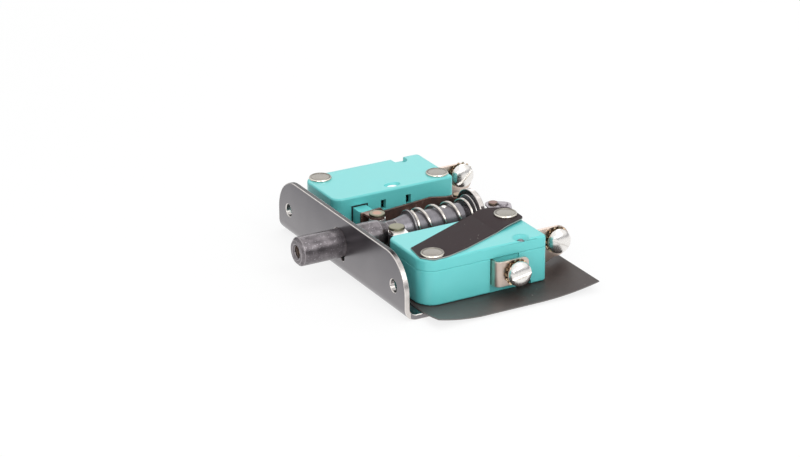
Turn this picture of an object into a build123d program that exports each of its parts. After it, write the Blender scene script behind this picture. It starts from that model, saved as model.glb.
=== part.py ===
"""Plunger-operated double micro switch unit on a folded steel bracket.

Millimetres. X runs along the mounting flange, Y along the plunger from its tapped end to the rear, and Z is up.
The origin is midway between the two fixing holes, on the front face of the flange. Heights are given above the
underside of the base plate, and up() turns them into Z.
"""
import math
import os

from build123d import *

# Bracket, one folded sheet
SHEET = 1.5                  # sheet thickness
FLANGE_WIDTH = 72.0
FLANGE_HEIGHT = 16.9
FLANGE_CORNER = 10.0         # radius of the two top corners
BEND_INSIDE = 2.0            # inside radius of the folds
HOLE_PITCH = 59.6            # between the two fixing holes
HOLE_BORE = 3.5
HOLE_HEIGHT = 8.0            # of the fixing holes
BASE_REAR = 44.6             # rear edge of the base plate
TAB_FACE = 40.4              # front face of the tab
TAB_HALF_WIDTH = 7.1
SLIT = 0.8                   # slits beside the tab
NOTCH_R = 1.0                # small notch at the lower edge of the plunger hole
NOTCH_ANGLE = -65.0

# Plunger, turned steel
PLUNGER_HEIGHT = 9.2         # height of its axis
PLUNGER_R = 4.0
PLUNGER_FRONT = -13.0
PLUNGER_CHAMFER = 0.8
THREAD_R = 1.65              # core of the M4 thread
THREAD_DEPTH = 8.0
THREAD_SINK = 0.5
NECK_R = 3.05
CONE_ANGLE = 20.0            # of the cone that lifts the rollers
ROD_R = 2.5
ROD_TAIL = 1.6               # rod behind the retaining ring
ROD_CHAMFER = 0.5

# Sleeve on the rod, inside the spring
SLEEVE_FRONT = 17.0
SLEEVE_CONE = 3.6            # length of the cone at its front
SLEEVE_R = 3.8
CROSS_PIN_R = 0.75
CROSS_PIN_Y = 32.4
CROSS_PIN_PROUD = 0.15

# Return spring and its ring
WIRE = 0.9
COIL_R = 4.5                 # to the middle of the wire
SPRING_FRONT = 21.7
ACTIVE_TURNS = 3.5
CLOSED_TURNS = 0.5           # at each end
CLIP_R = 4.9
CLIP_THICKNESS = 0.5
CLIP_GROOVE = 0.3
SEAT_R = 5.6                 # washer between the spring and the tab
SEAT_THICKNESS = 0.5

# Retaining ring behind the tab
RING_THICKNESS = 0.8
RING_R = 4.4
RING_GROOVE = 0.5

# Rollers and pins
ROLLER_X = 5.43              # axis, from the plunger axis, at rest
ROLLER_Y = 14.6
ROLLER_R = 2.35
ROLLER_HEIGHT = 4.0
ROLLER_WASHER = 0.3
WASHER_R = 2.3
PIN_R = 1.0
PIN_HEAD_R = 2.2
PIN_HEAD = 0.7
HINGE_X = 9.5
HINGE_Y = 42.3
HINGE_SHOULDER_R = 1.6
HINGE_HEAD_R = 1.3           # riveted end of the hinge pins
HINGE_HEAD = 0.5
STAY = 0.35                  # link plate over the right hinge pin
STAY_HALF_WIDTH = 2.2
STAY_BOSS = (11.3, 44.4)     # dimple pressed up in the link plate
STAY_BOSS_R = 1.4
STAY_BOSS_RISE = 0.45

# Levers, folded steel with two ears in front and a rolled knuckle at the rear
LEVER_SHEET = 0.7
LEVER_OFFSET = 4.3           # outer face of the web, from the line through both pins
LEVER_EAR_R = 2.1
LEVER_NOSE = 2.6             # web in front of the roller pin
LEVER_WAIST = 1.3            # the web is lower by this at each edge behind the ears
LEVER_WAIST_START = 4.0      # from the roller pin
LEVER_JOG = (-6.5, -2.6)     # start and end of the web's jog inwards to the hinge pin

# Switch housings
SWITCH_INNER = 14.35         # inner side, from the plunger axis
SWITCH_OUTER = 34.6
SWITCH_FRONT = 6.4
SWITCH_REAR = 43.9
SWITCH_HEIGHT = 13.05
COVER_HEIGHT = 3.3
WALL = 1.6
FLOOR = 1.6
REAR_BLOCK_Y = 25.0          # behind this the outer wall is thick, for the terminal pocket
REAR_BLOCK = 4.0             # thickness of the outer wall there
CORNER_OUTER_FRONT = 5.0
CORNER_INNER_FRONT = 3.0
CORNER_REAR = 1.2
TOP_ROUND = 0.7
FOOT_ROUND = 0.6
PARTING_BREAK = 0.15

# Rivets through each switch
RIVET_FRONT = (SWITCH_OUTER - 3.3, SWITCH_FRONT + 4.4)
RIVET_REAR = (SWITCH_INNER + 4.05, SWITCH_REAR - 3.1)
RIVET_R = 1.5
RIVET_HEAD_R = 3.2
RIVET_HEAD = 0.65
RIVET_POST_R = 2.7

# Hole, dimple, slots and pocket of the housing
GAUGE_HOLE = (SWITCH_OUTER - 2.0, SWITCH_REAR - 7.0)
GAUGE_HOLE_R = 1.1
GAUGE_SINK_R = 2.5
GAUGE_SINK = 1.1
NOTCH_WIDTH = 4.2            # notch round the same hole in the other face
NOTCH_DEPTH = 1.3
DIMPLE = (SWITCH_INNER + 2.95, SWITCH_FRONT + 19.5)
DIMPLE_LENGTH = 5.0
DIMPLE_WIDTH = 3.0
DIMPLE_DEPTH = 0.6
SLOT_YS = (21.5, 29.4)
SLOT_WIDTH = 1.6
SLOT_HEIGHT = 2.8
SLOT_LEVEL = 4.05            # middle of the slots above the bottom of the switch
POCKET_DEPTH = 0.5
POCKET_FRONT = 26.4
POCKET_REAR = 35.2

# Button and snap blade
BUTTON_Y = 14.0
BUTTON_WIDTH = 4.2
BUTTON_HEIGHT = 5.2
BUTTON_LEVEL = 5.6           # middle of the button above the bottom of the switch
BUTTON_NOSE_R = 2.6
BUTTON_FLANGE = 0.55
BUTTON_FLANGE_REACH = 0.8
BUTTON_TIP_R = 1.0
BLADE_PIVOT = (SWITCH_INNER + 3.45, SWITCH_FRONT + 3.6)
BLADE_ROLL_R = 0.7
BLADE_SHEET = 0.4
BLADE_HEIGHT = 4.0
BLADE_END = 22.4
CONTACT_Y = 20.5
CONTACT_R = 1.4
CONTACT_HEAD = 0.7
CONTACT_SHANK_R = 0.7

# Terminal strips
STRIP = 0.8
STRIP_BEND = 1.3             # radius of the folds, to the middle of the strip
STRIP_HEIGHT = 4.0           # inside the switch
STRIP_INSET = 6.6            # of the common strip, from the outer side
STRIP_EXIT_Y = 27.0
SIDE_PLATE_OFF = 2.4         # from the outer side to the middle of the plate
SIDE_PLATE_END = 36.6
SIDE_PLATE_HEIGHT = 7.1
SIDE_PLATE_LEVEL = 7.85      # height of its middle
SIDE_PLATE_CORNER = 1.5
SIDE_SCREW_Y = 32.8
SIDE_SCREW_HEIGHT = 7.74
END_PLATE_X = SWITCH_INNER + 11.25
END_PLATE_END = 56.2
END_PLATE_BOTTOM = {"left": 4.2, "right": 3.7}
END_PLATE_TOP = {"left": 13.2, "right": 12.5}
END_PLATE_ROOT = 48.4        # up to here the plate reaches lower
END_PLATE_ROOT_DROP = 1.5
END_PLATE_CORNER = 3.8
END_SCREW_Y = 52.2
END_SCREW_HEIGHT = {"left": 10.14, "right": 8.74}
FIXED_STRIP_X = END_PLATE_X - 2.9
FIXED_STRIP_FRONT = 18.6

# M3.5 screws and their toothed washers
SCREW_R = 1.75
SCREW_HEAD_R = 3.4
SCREW_HEAD = 2.5
SCREW_HEAD_EDGE = 1.6        # straight part of the head
SCREW_SHANK = 3.8
SCREW_SLOT = 0.9
SCREW_SLOT_DEPTH = 1.2
SCREW_SLOT_TURNS = {"left": (15.0, 40.0), "right": (10.0, -27.0)}
LOCK_WASHER = 1.0            # over its twisted teeth
LOCK_WASHER_R = 3.7
LOCK_TEETH = 14
LOCK_TOOTH = 0.6

# Insulation
PAPER = 0.3                  # sheet under the switches
PAPER_FRONT = 5.4
PAPER_REAR = 54.5
PAPER_HALF_WIDTH = 44.0
PAPER_FLAP_DROP = 0.8        # the long edges hang by this
PAPER_FLAT_FROM = 14.4       # the front curl ends here
PAPER_CURL = 1.1             # the front corners and the rear edge stand up by this
STRAP = 0.4                  # strap on the right switch
STRAP_FRONT = ((-6.3, -2.9), (0.3, -3.9), (3.3, -1.4), (3.1, 3.2), (1.1, 9.8))     # from the front rivet
STRAP_REAR = ((6.9, -3.4), (4.3, 3.2), (-3.9, 3.5), (-6.3, -1.6), (-6.3, -5.0), (-3.5, -11.1))  # from the rear one
STRAP_FRONT_ROUNDS = (0, 1.5, 1.8, 4.0, 0)
STRAP_REAR_ROUNDS = (0, 2.0, 1.0, 2.0, 0, 4.0)
STRAP_STEP = (-7.8, -3.8)    # its step up over the link plate, from the rear rivet

# Clearances
SLIDE_GAP = 0.06             # radial, where something slides or turns
FIT_GAP = 0.02               # where a fixed piece sits in or on another
TOUCH_GAP = 0.03             # roller to plunger, button to lever and blade
END_GAP = 0.05               # ends that stop a motion
SIDE_GAP = 0.22              # around the button in its window

# Heights worked out from the sizes above
PAPER_BOTTOM = SHEET + FIT_GAP
SWITCH_BOTTOM = PAPER_BOTTOM + PAPER + FIT_GAP
SWITCH_TOP = SWITCH_BOTTOM + SWITCH_HEIGHT
SWITCH_MIDDLE = (SWITCH_BOTTOM + SWITCH_TOP) / 2
PARTING = SWITCH_TOP - COVER_HEIGHT
STAY_BOTTOM = SWITCH_TOP + FIT_GAP
STRAP_LOW = SWITCH_TOP + FIT_GAP
STRAP_HIGH = STAY_BOTTOM + STAY + FIT_GAP
WASHER_TOP = PLUNGER_HEIGHT + ROLLER_HEIGHT / 2 + END_GAP + ROLLER_WASHER
EAR_TOP = WASHER_TOP + FIT_GAP + LEVER_SHEET
EAR_BOTTOM = 2 * PLUNGER_HEIGHT - EAR_TOP
KNUCKLE_R = PIN_R + SLIDE_GAP + LEVER_SHEET
KNUCKLE_TOP = EAR_TOP - LEVER_WAIST
KNUCKLE_BOTTOM = 2 * PLUNGER_HEIGHT - KNUCKLE_TOP

# Plunger cone and travel, so that the rollers ride from the neck to the full radius
CONE_SLOPE = math.tan(math.radians(CONE_ANGLE))
CONE_START = ROLLER_Y - ROLLER_R * math.tan(math.radians(CONE_ANGLE / 2))
CONE_END = CONE_START - (PLUNGER_R - NECK_R) / CONE_SLOPE
HINGE_ARM = HINGE_Y - ROLLER_Y
HINGE_SIDE = HINGE_X - ROLLER_X
LEVER_TILT = math.atan2(HINGE_SIDE, HINGE_ARM)
LEVER_LENGTH = math.hypot(HINGE_SIDE, HINGE_ARM)
LIFT_PER_TRAVEL = CONE_SLOPE / (1 - CONE_SLOPE * HINGE_SIDE / HINGE_ARM)
TRAVEL = (PLUNGER_R - NECK_R) / LIFT_PER_TRAVEL
SEAT_FACE = TAB_FACE - FIT_GAP - SEAT_THICKNESS
SLEEVE_REAR = SEAT_FACE - TRAVEL - END_GAP
TAB_REAR = TAB_FACE + SHEET
RING_FRONT = TAB_REAR + END_GAP
ROD_END = RING_FRONT + RING_THICKNESS + ROD_TAIL

# Button, from the lever's web to the snap blade
BUTTON_NOSE_X = HINGE_X + (
    LEVER_OFFSET + BUTTON_NOSE_R + TOUCH_GAP - (HINGE_Y - BUTTON_Y) * math.sin(LEVER_TILT)) / math.cos(LEVER_TILT)
BUTTON_TIP_X = BLADE_PIVOT[0] - BLADE_SHEET / 2 - TOUCH_GAP
CAVITY_INNER = SWITCH_INNER + WALL
REAR_BLOCK_X = SWITCH_OUTER - REAR_BLOCK
STRIP_X = SWITCH_OUTER - STRIP_INSET
SIDE_PLATE_X = SWITCH_OUTER + SIDE_PLATE_OFF
BUTTON_LOW = SWITCH_BOTTOM + BUTTON_LEVEL - BUTTON_HEIGHT / 2


def up(height):
    """Z of a height above the underside of the base plate."""
    return height - HOLE_HEIGHT


def turned(points):
    """Solid turned about the plunger axis from (radius, y) points."""
    profile = make_face(Polyline(*[(r, y, 0) for r, y in points], close=True))
    return Pos(0, 0, up(PLUNGER_HEIGHT)) * revolve(profile, Axis.Y)


def rod(radius, y0, y1):
    """Cylinder about the plunger axis."""
    return turned([(0, y0), (radius, y0), (radius, y1), (0, y1)])


def dome_head(radius, height, edge):
    """Domed head standing on the origin along Y, with a short straight edge."""
    rise = height - edge
    middle = (radius * 0.7, edge + rise * 0.7)
    profile = Polyline((0, height), (0, 0), (radius, 0), (radius, edge))
    return revolve(make_face(profile + ThreePointArc((radius, edge), middle, (0, height))), Axis.Y)


def upright(place, radius, low, high):
    """Cylinder parallel to Z between two heights."""
    stand = Cylinder(radius, high - low, align=(Align.CENTER, Align.CENTER, Align.MIN))
    return Pos(place[0], place[1], up(low)) * stand


def block(x0, x1, y0, y1, low, high):
    """Box from its limits, the last two as heights."""
    return Pos((x0 + x1) / 2, (y0 + y1) / 2, up((low + high) / 2)) * Box(x1 - x0, y1 - y0, high - low)


def prism(outline, low, high):
    """Upright prism on a plan face between two heights."""
    return extrude(Pos(0, 0, up(low)) * outline, high - low, dir=(0, 0, 1))


def plan(points, radii=()):
    """Plan face from its corners, with the corners named in radii rounded."""
    face = make_face(Polyline(*points, close=True))
    for (x, y), radius in radii:
        corner = face.vertices().sort_by_distance(Vector(x, y, 0))[0]
        face = fillet(corner, radius)
    return face


def strip(points, low, high):
    """Terminal strip standing on edge, from the middle line of its plan."""
    line = FilletPolyline(*points, radius=STRIP_BEND) if len(points) > 2 else Polyline(*points)
    return prism(trace(line, STRIP), low, high)


def lever_place():
    """From the lever's own axes, with its hinge at the origin and its roller in front, to the right lever."""
    return Pos(HINGE_X, HINGE_Y, 0) * Rot(0, 0, -math.degrees(LEVER_TILT))


def fold(x0, x1, y0, y1, axis_y):
    """Quarter-round fold between the base plate and an upright wall, about the line at axis_y."""
    outside = BEND_INSIDE + SHEET
    ring = Cylinder(outside, x1 - x0) - Cylinder(BEND_INSIDE, x1 - x0)
    ring = Pos((x0 + x1) / 2, axis_y, up(outside)) * Rot(0, 90, 0) * ring
    return ring & block(x0, x1, y0, y1, 0, outside)


def bracket():
    """Flange, base plate and rear tab, folded from one sheet."""
    outside = BEND_INSIDE + SHEET
    half = FLANGE_WIDTH / 2
    flange = block(-half, half, 0, SHEET, outside, FLANGE_HEIGHT)
    flange = fillet(flange.edges().filter_by(Axis.Y).group_by(Axis.Z)[-1], FLANGE_CORNER)
    body = flange + fold(-half, half, 0, outside, outside) + block(-half, half, outside, BASE_REAR, 0, SHEET)

    width = TAB_HALF_WIDTH
    tab_fold = TAB_REAR - outside
    body -= block(-width - SLIT, width + SLIT, tab_fold - SLIT, BASE_REAR + 1, -1, SHEET + 1)
    body += block(-width, width, tab_fold - SLIT, tab_fold, 0, SHEET)
    body += fold(-width, width, tab_fold, TAB_REAR, tab_fold)
    body += block(-width, width, TAB_FACE, TAB_REAR, outside, PLUNGER_HEIGHT)
    body += rod(width, TAB_FACE, TAB_REAR)

    body -= rod(ROD_R + SLIDE_GAP, TAB_FACE - 1, TAB_REAR + 1)
    body -= rod(PLUNGER_R + SLIDE_GAP, -1, SHEET + 1)
    turn = math.radians(NOTCH_ANGLE)
    notch = Pos(PLUNGER_R * math.cos(turn), SHEET / 2, up(PLUNGER_HEIGHT) + PLUNGER_R * math.sin(turn))
    body -= notch * Rot(90, 0, 0) * Cylinder(NOTCH_R, 2 * SHEET)
    for side in (-1, 1):
        body -= Pos(side * HOLE_PITCH / 2, SHEET / 2, 0) * Rot(90, 0, 0) * Cylinder(HOLE_BORE / 2, 2 * SHEET)
        for x, y in (RIVET_FRONT, RIVET_REAR):
            body -= upright((side * x, y), RIVET_R + FIT_GAP, -1, SHEET + 1)
        body -= upright((side * HINGE_X, HINGE_Y), PIN_R + FIT_GAP, -1, SHEET + 1)
    return body


def plunger():
    """Tapped front end, shaft, cone, neck and rear rod, turned in one piece."""
    front = PLUNGER_FRONT
    body = turned([
        (0, front), (PLUNGER_R - PLUNGER_CHAMFER, front), (PLUNGER_R, front + PLUNGER_CHAMFER),
        (PLUNGER_R, CONE_END), (NECK_R, CONE_START), (NECK_R, SLEEVE_FRONT - FIT_GAP),
        (ROD_R, SLEEVE_FRONT - FIT_GAP), (ROD_R, RING_FRONT - FIT_GAP),
        (ROD_R - RING_GROOVE, RING_FRONT - FIT_GAP), (ROD_R - RING_GROOVE, RING_FRONT + RING_THICKNESS + FIT_GAP),
        (ROD_R, RING_FRONT + RING_THICKNESS + FIT_GAP), (ROD_R, ROD_END - ROD_CHAMFER),
        (ROD_R - ROD_CHAMFER, ROD_END), (0, ROD_END)])
    body -= turned([
        (0, front - 1), (THREAD_R + THREAD_SINK + 1, front - 1), (THREAD_R, front + THREAD_SINK),
        (THREAD_R, front + THREAD_DEPTH), (0, front + THREAD_DEPTH + THREAD_R)])
    return body - cross_hole()


def cross_hole():
    """Hole for the cross pin, through the sleeve and the rod."""
    return Pos(0, CROSS_PIN_Y, up(PLUNGER_HEIGHT)) * Cylinder(CROSS_PIN_R + FIT_GAP, 2 * SLEEVE_R + 2)


def cross_pin():
    """Pin that carries the sleeve on the rod, its ends just proud."""
    return Pos(0, CROSS_PIN_Y, up(PLUNGER_HEIGHT)) * Cylinder(CROSS_PIN_R, 2 * (SLEEVE_R + CROSS_PIN_PROUD))


def guide_sleeve():
    """Sleeve with a cone at its front, which slides up to the tab at full travel."""
    bore = ROD_R + FIT_GAP
    clip_front = SPRING_FRONT - CLIP_THICKNESS - 2 * FIT_GAP
    groove_r = SLEEVE_R - CLIP_GROOVE
    body = turned([
        (bore, SLEEVE_FRONT), (NECK_R, SLEEVE_FRONT), (SLEEVE_R, SLEEVE_FRONT + SLEEVE_CONE),
        (SLEEVE_R, clip_front), (groove_r, clip_front), (groove_r, SPRING_FRONT),
        (SLEEVE_R, SPRING_FRONT), (SLEEVE_R, SLEEVE_REAR), (bore, SLEEVE_REAR)])
    return body - cross_hole()


def spring_clip():
    """Ring in the sleeve's groove that the spring pushes on."""
    rear = SPRING_FRONT - FIT_GAP
    inside = SLEEVE_R - CLIP_GROOVE + FIT_GAP
    return turned([(inside, rear - CLIP_THICKNESS), (CLIP_R, rear - CLIP_THICKNESS), (CLIP_R, rear), (inside, rear)])


def retaining_ring():
    """Open ring in the rod's groove, which stops the plunger on the tab at rest."""
    inside = ROD_R - RING_GROOVE + FIT_GAP
    rear = RING_FRONT + RING_THICKNESS
    body = turned([(inside, RING_FRONT), (RING_R, RING_FRONT), (RING_R, rear), (inside, rear)])
    mouth = inside * 1.5
    return body - block(-mouth / 2, mouth / 2, RING_FRONT - 1, rear + 1, PLUNGER_HEIGHT - RING_R - 1, PLUNGER_HEIGHT)


def spring_y(turn):
    """Place of the wire's middle along Y after so many turns: closed at both ends, open between."""
    total = ACTIVE_TURNS + 2 * CLOSED_TURNS
    first = SPRING_FRONT + WIRE / 2
    last = SEAT_FACE - FIT_GAP - WIRE / 2
    closed = WIRE * 1.1 * CLOSED_TURNS
    pitch = (last - first - 2 * closed) / ACTIVE_TURNS
    if turn < CLOSED_TURNS:
        return first + closed * turn / CLOSED_TURNS
    if turn > total - CLOSED_TURNS:
        return last - closed * (total - turn) / CLOSED_TURNS
    return first + closed + pitch * (turn - CLOSED_TURNS)


def return_spring():
    """Round-wire compression spring between the clip and its seat on the tab."""
    steps_per_turn = 12
    total = ACTIVE_TURNS + 2 * CLOSED_TURNS
    points = []
    for step in range(round(total * steps_per_turn) + 1):
        turn = step / steps_per_turn
        smooth = sum(spring_y(min(max(turn + shift, 0), total)) for shift in (-0.12, -0.06, 0, 0.06, 0.12)) / 5
        angle = 2 * math.pi * turn
        points.append((COIL_R * math.sin(angle), smooth, up(PLUNGER_HEIGHT) + COIL_R * math.cos(angle)))
    path = Spline(*points)
    section = Plane(origin=path @ 0, z_dir=path % 0) * Circle(WIRE / 2)
    return sweep(section, path, is_frenet=True)


def spring_seat():
    """Washer on the tab that the spring stands on."""
    inside = ROD_R + 2 * SLIDE_GAP
    rear = SEAT_FACE + SEAT_THICKNESS
    return turned([(inside, SEAT_FACE), (SEAT_R, SEAT_FACE), (SEAT_R, rear), (inside, rear)])


def lever():
    """Right lever: a web with two ears folded in at the roller, rolled round the hinge pin at its rear."""
    outer = LEVER_OFFSET
    inner = outer - LEVER_SHEET
    jog_start, jog_end = LEVER_JOG
    front = -LEVER_LENGTH - LEVER_NOSE
    waist = -LEVER_LENGTH + LEVER_WAIST_START
    drop = LEVER_WAIST
    top = [(front, EAR_TOP), (waist, EAR_TOP), (waist + drop, KNUCKLE_TOP), (jog_start, KNUCKLE_TOP)]
    bottom = [(y, 2 * PLUNGER_HEIGHT - h) for y, h in reversed(top)]
    outline = make_face(Polyline(*[(0, y, up(h)) for y, h in top + bottom], close=True))
    body = Pos(inner, 0, 0) * extrude(outline, LEVER_SHEET, dir=(1, 0, 0))
    y = -LEVER_LENGTH
    ear = plan([(0, y - LEVER_EAR_R), (outer, y - LEVER_EAR_R), (outer, y + LEVER_EAR_R), (0, y + LEVER_EAR_R)])
    ear += Pos(0, y, 0) * Circle(LEVER_EAR_R)
    body += prism(ear, EAR_TOP - LEVER_SHEET, EAR_TOP)
    body += prism(ear, EAR_BOTTOM, EAR_BOTTOM + LEVER_SHEET)
    folds = body.edges().filter_by(Axis.Y).filter_by(lambda e: abs(e.center().X - outer) < 0.01)
    folds = folds.filter_by(lambda e: min(abs(e.center().Z - up(h)) for h in (EAR_TOP, EAR_BOTTOM)) < 0.01)
    body = fillet(folds, LEVER_SHEET / 2)
    middle = inner + LEVER_SHEET / 2
    roll = KNUCKLE_R - LEVER_SHEET / 2
    line = FilletPolyline((middle, jog_start - 1), (middle, jog_start), (roll, jog_end), (roll, 0), radius=1.5)
    body += prism(trace(line, LEVER_SHEET), KNUCKLE_BOTTOM, KNUCKLE_TOP)
    body += upright((0, 0), KNUCKLE_R, KNUCKLE_BOTTOM, KNUCKLE_TOP)
    body -= upright((0, -LEVER_LENGTH), PIN_R + FIT_GAP, 0, 2 * EAR_TOP)
    body -= upright((0, 0), PIN_R + SLIDE_GAP, 0, 2 * EAR_TOP)
    return lever_place() * body


def roller():
    """Right roller."""
    low = PLUNGER_HEIGHT - ROLLER_HEIGHT / 2
    body = upright((ROLLER_X, ROLLER_Y), ROLLER_R, low, low + ROLLER_HEIGHT)
    body = chamfer(body.edges().filter_by(GeomType.CIRCLE), 0.2)
    return body - upright((ROLLER_X, ROLLER_Y), PIN_R + SLIDE_GAP, low - 1, low + ROLLER_HEIGHT + 1)


def roller_washers():
    """Thin washers above and below the right roller."""
    rings = []
    for low in (WASHER_TOP - ROLLER_WASHER, 2 * PLUNGER_HEIGHT - WASHER_TOP):
        ring = upright((ROLLER_X, ROLLER_Y), WASHER_R, low, low + ROLLER_WASHER)
        rings.append(ring - upright((ROLLER_X, ROLLER_Y), PIN_R + FIT_GAP, low - 1, low + 2))
    return rings


def headed_pin(place, low, head_bottom, head_radius, head_height):
    """Pin with a round head on top."""
    head = upright(place, head_radius, head_bottom, head_bottom + head_height)
    head = fillet(head.edges().filter_by(GeomType.CIRCLE).group_by(Axis.Z)[-1], head_height / 3)
    return head + upright(place, PIN_R, low, head_bottom)


def roller_pin():
    """Right roller pin, headed on the top ear and spread under the bottom ear."""
    place = (ROLLER_X, ROLLER_Y)
    spread = EAR_BOTTOM - FIT_GAP
    tail = PIN_HEAD / 2
    body = headed_pin(place, spread, EAR_TOP + FIT_GAP, PIN_HEAD_R, PIN_HEAD)
    return body + upright(place, PIN_R * 1.5, spread - tail, spread)


def hinge_pin(side):
    """Hinge pin, riveted into the base plate, with a shoulder under the lever and its top end riveted over."""
    place = (HINGE_X, HINGE_Y)
    head_bottom = STAY_BOTTOM + STAY + FIT_GAP if side == "right" else KNUCKLE_TOP + END_GAP
    body = headed_pin(place, 0, head_bottom, HINGE_HEAD_R, HINGE_HEAD)
    return body + upright(place, HINGE_SHOULDER_R, PAPER_BOTTOM + PAPER + FIT_GAP, KNUCKLE_BOTTOM - END_GAP)


def hinge_spacer():
    """Tube on the right hinge pin between the lever and the link plate."""
    place = (HINGE_X, HINGE_Y)
    body = upright(place, HINGE_SHOULDER_R, KNUCKLE_TOP + END_GAP, STAY_BOTTOM - FIT_GAP)
    return body - upright(place, PIN_R + FIT_GAP, KNUCKLE_TOP, STAY_BOTTOM + 1)


def hinge_stay():
    """Link plate from the right switch's rear rivet to the top of its hinge pin, with a dimple pressed up."""
    dx, dy = HINGE_X - RIVET_REAR[0], HINGE_Y - RIVET_REAR[1]
    length = math.hypot(dx, dy)
    turn = math.degrees(math.atan2(dy, dx))
    centre = Pos((HINGE_X + RIVET_REAR[0]) / 2, (HINGE_Y + RIVET_REAR[1]) / 2)
    bar = centre * Rot(0, 0, turn) * SlotCenterToCenter(length, 2 * STAY_HALF_WIDTH)
    wing = Pos(*STAY_BOSS) * Circle(STAY_HALF_WIDTH)
    body = prism(bar + make_hull((bar + wing).edges()), STAY_BOTTOM, STAY_BOTTOM + STAY)
    boss = upright(STAY_BOSS, STAY_BOSS_R, STAY_BOTTOM + STAY / 2, STAY_BOTTOM + STAY + STAY_BOSS_RISE)
    body += fillet(boss.edges().filter_by(GeomType.CIRCLE).group_by(Axis.Z)[-1], STAY_BOSS_RISE * 0.9)
    body -= upright((HINGE_X, HINGE_Y), PIN_R + FIT_GAP, STAY_BOTTOM - 1, STAY_BOTTOM + STAY + 1)
    return body - upright(RIVET_REAR, RIVET_R + FIT_GAP, STAY_BOTTOM - 1, STAY_BOTTOM + STAY + 1)


def housing_outline():
    """Plan of the right switch, with its rounded corners."""
    return plan(
        [(SWITCH_INNER, SWITCH_FRONT), (SWITCH_OUTER, SWITCH_FRONT),
         (SWITCH_OUTER, SWITCH_REAR), (SWITCH_INNER, SWITCH_REAR)],
        [((SWITCH_INNER, SWITCH_FRONT), CORNER_INNER_FRONT), ((SWITCH_OUTER, SWITCH_FRONT), CORNER_OUTER_FRONT),
         ((SWITCH_OUTER, SWITCH_REAR), CORNER_REAR), ((SWITCH_INNER, SWITCH_REAR), CORNER_REAR)])


def cavity(low, high):
    """Inside of the right switch between two heights, with the rivet posts left standing."""
    outline = plan(
        [(CAVITY_INNER, SWITCH_FRONT + WALL), (SWITCH_OUTER - WALL, SWITCH_FRONT + WALL),
         (SWITCH_OUTER - WALL, REAR_BLOCK_Y), (REAR_BLOCK_X, REAR_BLOCK_Y),
         (REAR_BLOCK_X, SWITCH_REAR - WALL), (CAVITY_INNER, SWITCH_REAR - WALL)],
        [((SWITCH_OUTER - WALL, SWITCH_FRONT + WALL), CORNER_OUTER_FRONT - WALL),
         ((CAVITY_INNER, SWITCH_FRONT + WALL), CORNER_INNER_FRONT - WALL)])
    space = prism(outline, low, high)
    for place in (RIVET_FRONT, RIVET_REAR):
        space -= upright(place, RIVET_POST_R, low - 1, high + 1)
    return space


def through_holes(low, high):
    """Rivet holes and the gauge hole."""
    holes = upright(GAUGE_HOLE, GAUGE_HOLE_R, low - 1, high + 1)
    for place in (RIVET_FRONT, RIVET_REAR):
        holes += upright(place, RIVET_R + FIT_GAP, low - 1, high + 1)
    return holes


def side_windows():
    """Button window and the two dark slots in the inner wall."""
    depth = (SWITCH_INNER - 1, CAVITY_INNER + 0.01)
    half = BUTTON_WIDTH / 2 + SIDE_GAP
    cuts = block(
        *depth, BUTTON_Y - half, BUTTON_Y + half, BUTTON_LOW - SIDE_GAP, BUTTON_LOW + BUTTON_HEIGHT + SIDE_GAP)
    low = SWITCH_BOTTOM + SLOT_LEVEL - SLOT_HEIGHT / 2
    for y in SLOT_YS:
        cuts += block(*depth, y - SLOT_WIDTH / 2, y + SLOT_WIDTH / 2, low, low + SLOT_HEIGHT)
    return cuts


def switch_base():
    """Right moulded base: a tub with windows, terminal slots, side pocket, and a notch and dimple in its face."""
    body = prism(housing_outline(), SWITCH_BOTTOM, PARTING)
    body = fillet(body.faces().sort_by(Axis.Z)[0].edges(), FOOT_ROUND)
    body = chamfer(body.faces().sort_by(Axis.Z)[-1].edges(), PARTING_BREAK)
    body -= cavity(SWITCH_BOTTOM + FLOOR, PARTING + 1)
    body -= through_holes(SWITCH_BOTTOM, PARTING)
    body -= side_windows()
    body -= block(
        SWITCH_OUTER - POCKET_DEPTH, SWITCH_OUTER + 1, POCKET_FRONT, POCKET_REAR, SWITCH_BOTTOM - 1, PARTING + 1)
    half = STRIP / 2 + SLIDE_GAP
    side_low = SIDE_PLATE_LEVEL - SIDE_PLATE_HEIGHT / 2 - SLIDE_GAP
    body -= block(
        REAR_BLOCK_X - 0.5, SWITCH_OUTER + 1, STRIP_EXIT_Y - half, STRIP_EXIT_Y + half, side_low, PARTING + 1)
    end_low = SWITCH_MIDDLE - STRIP_HEIGHT / 2 - SLIDE_GAP
    body -= block(
        END_PLATE_X - half, END_PLATE_X + half, SWITCH_REAR - WALL - 1, SWITCH_REAR + 1, end_low, PARTING + 1)
    x, y = GAUGE_HOLE
    depth = (SWITCH_BOTTOM - 1, SWITCH_BOTTOM + NOTCH_DEPTH)
    body -= upright(GAUGE_HOLE, NOTCH_WIDTH / 2, *depth)
    body -= block(x, SWITCH_OUTER + 1, y - NOTCH_WIDTH / 2, y + NOTCH_WIDTH / 2, *depth)
    oval = extrude(Ellipse(DIMPLE_WIDTH / 2, DIMPLE_LENGTH / 2), DIMPLE_DEPTH, taper=30)
    return body - Pos(*DIMPLE, up(SWITCH_BOTTOM)) * oval


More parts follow.
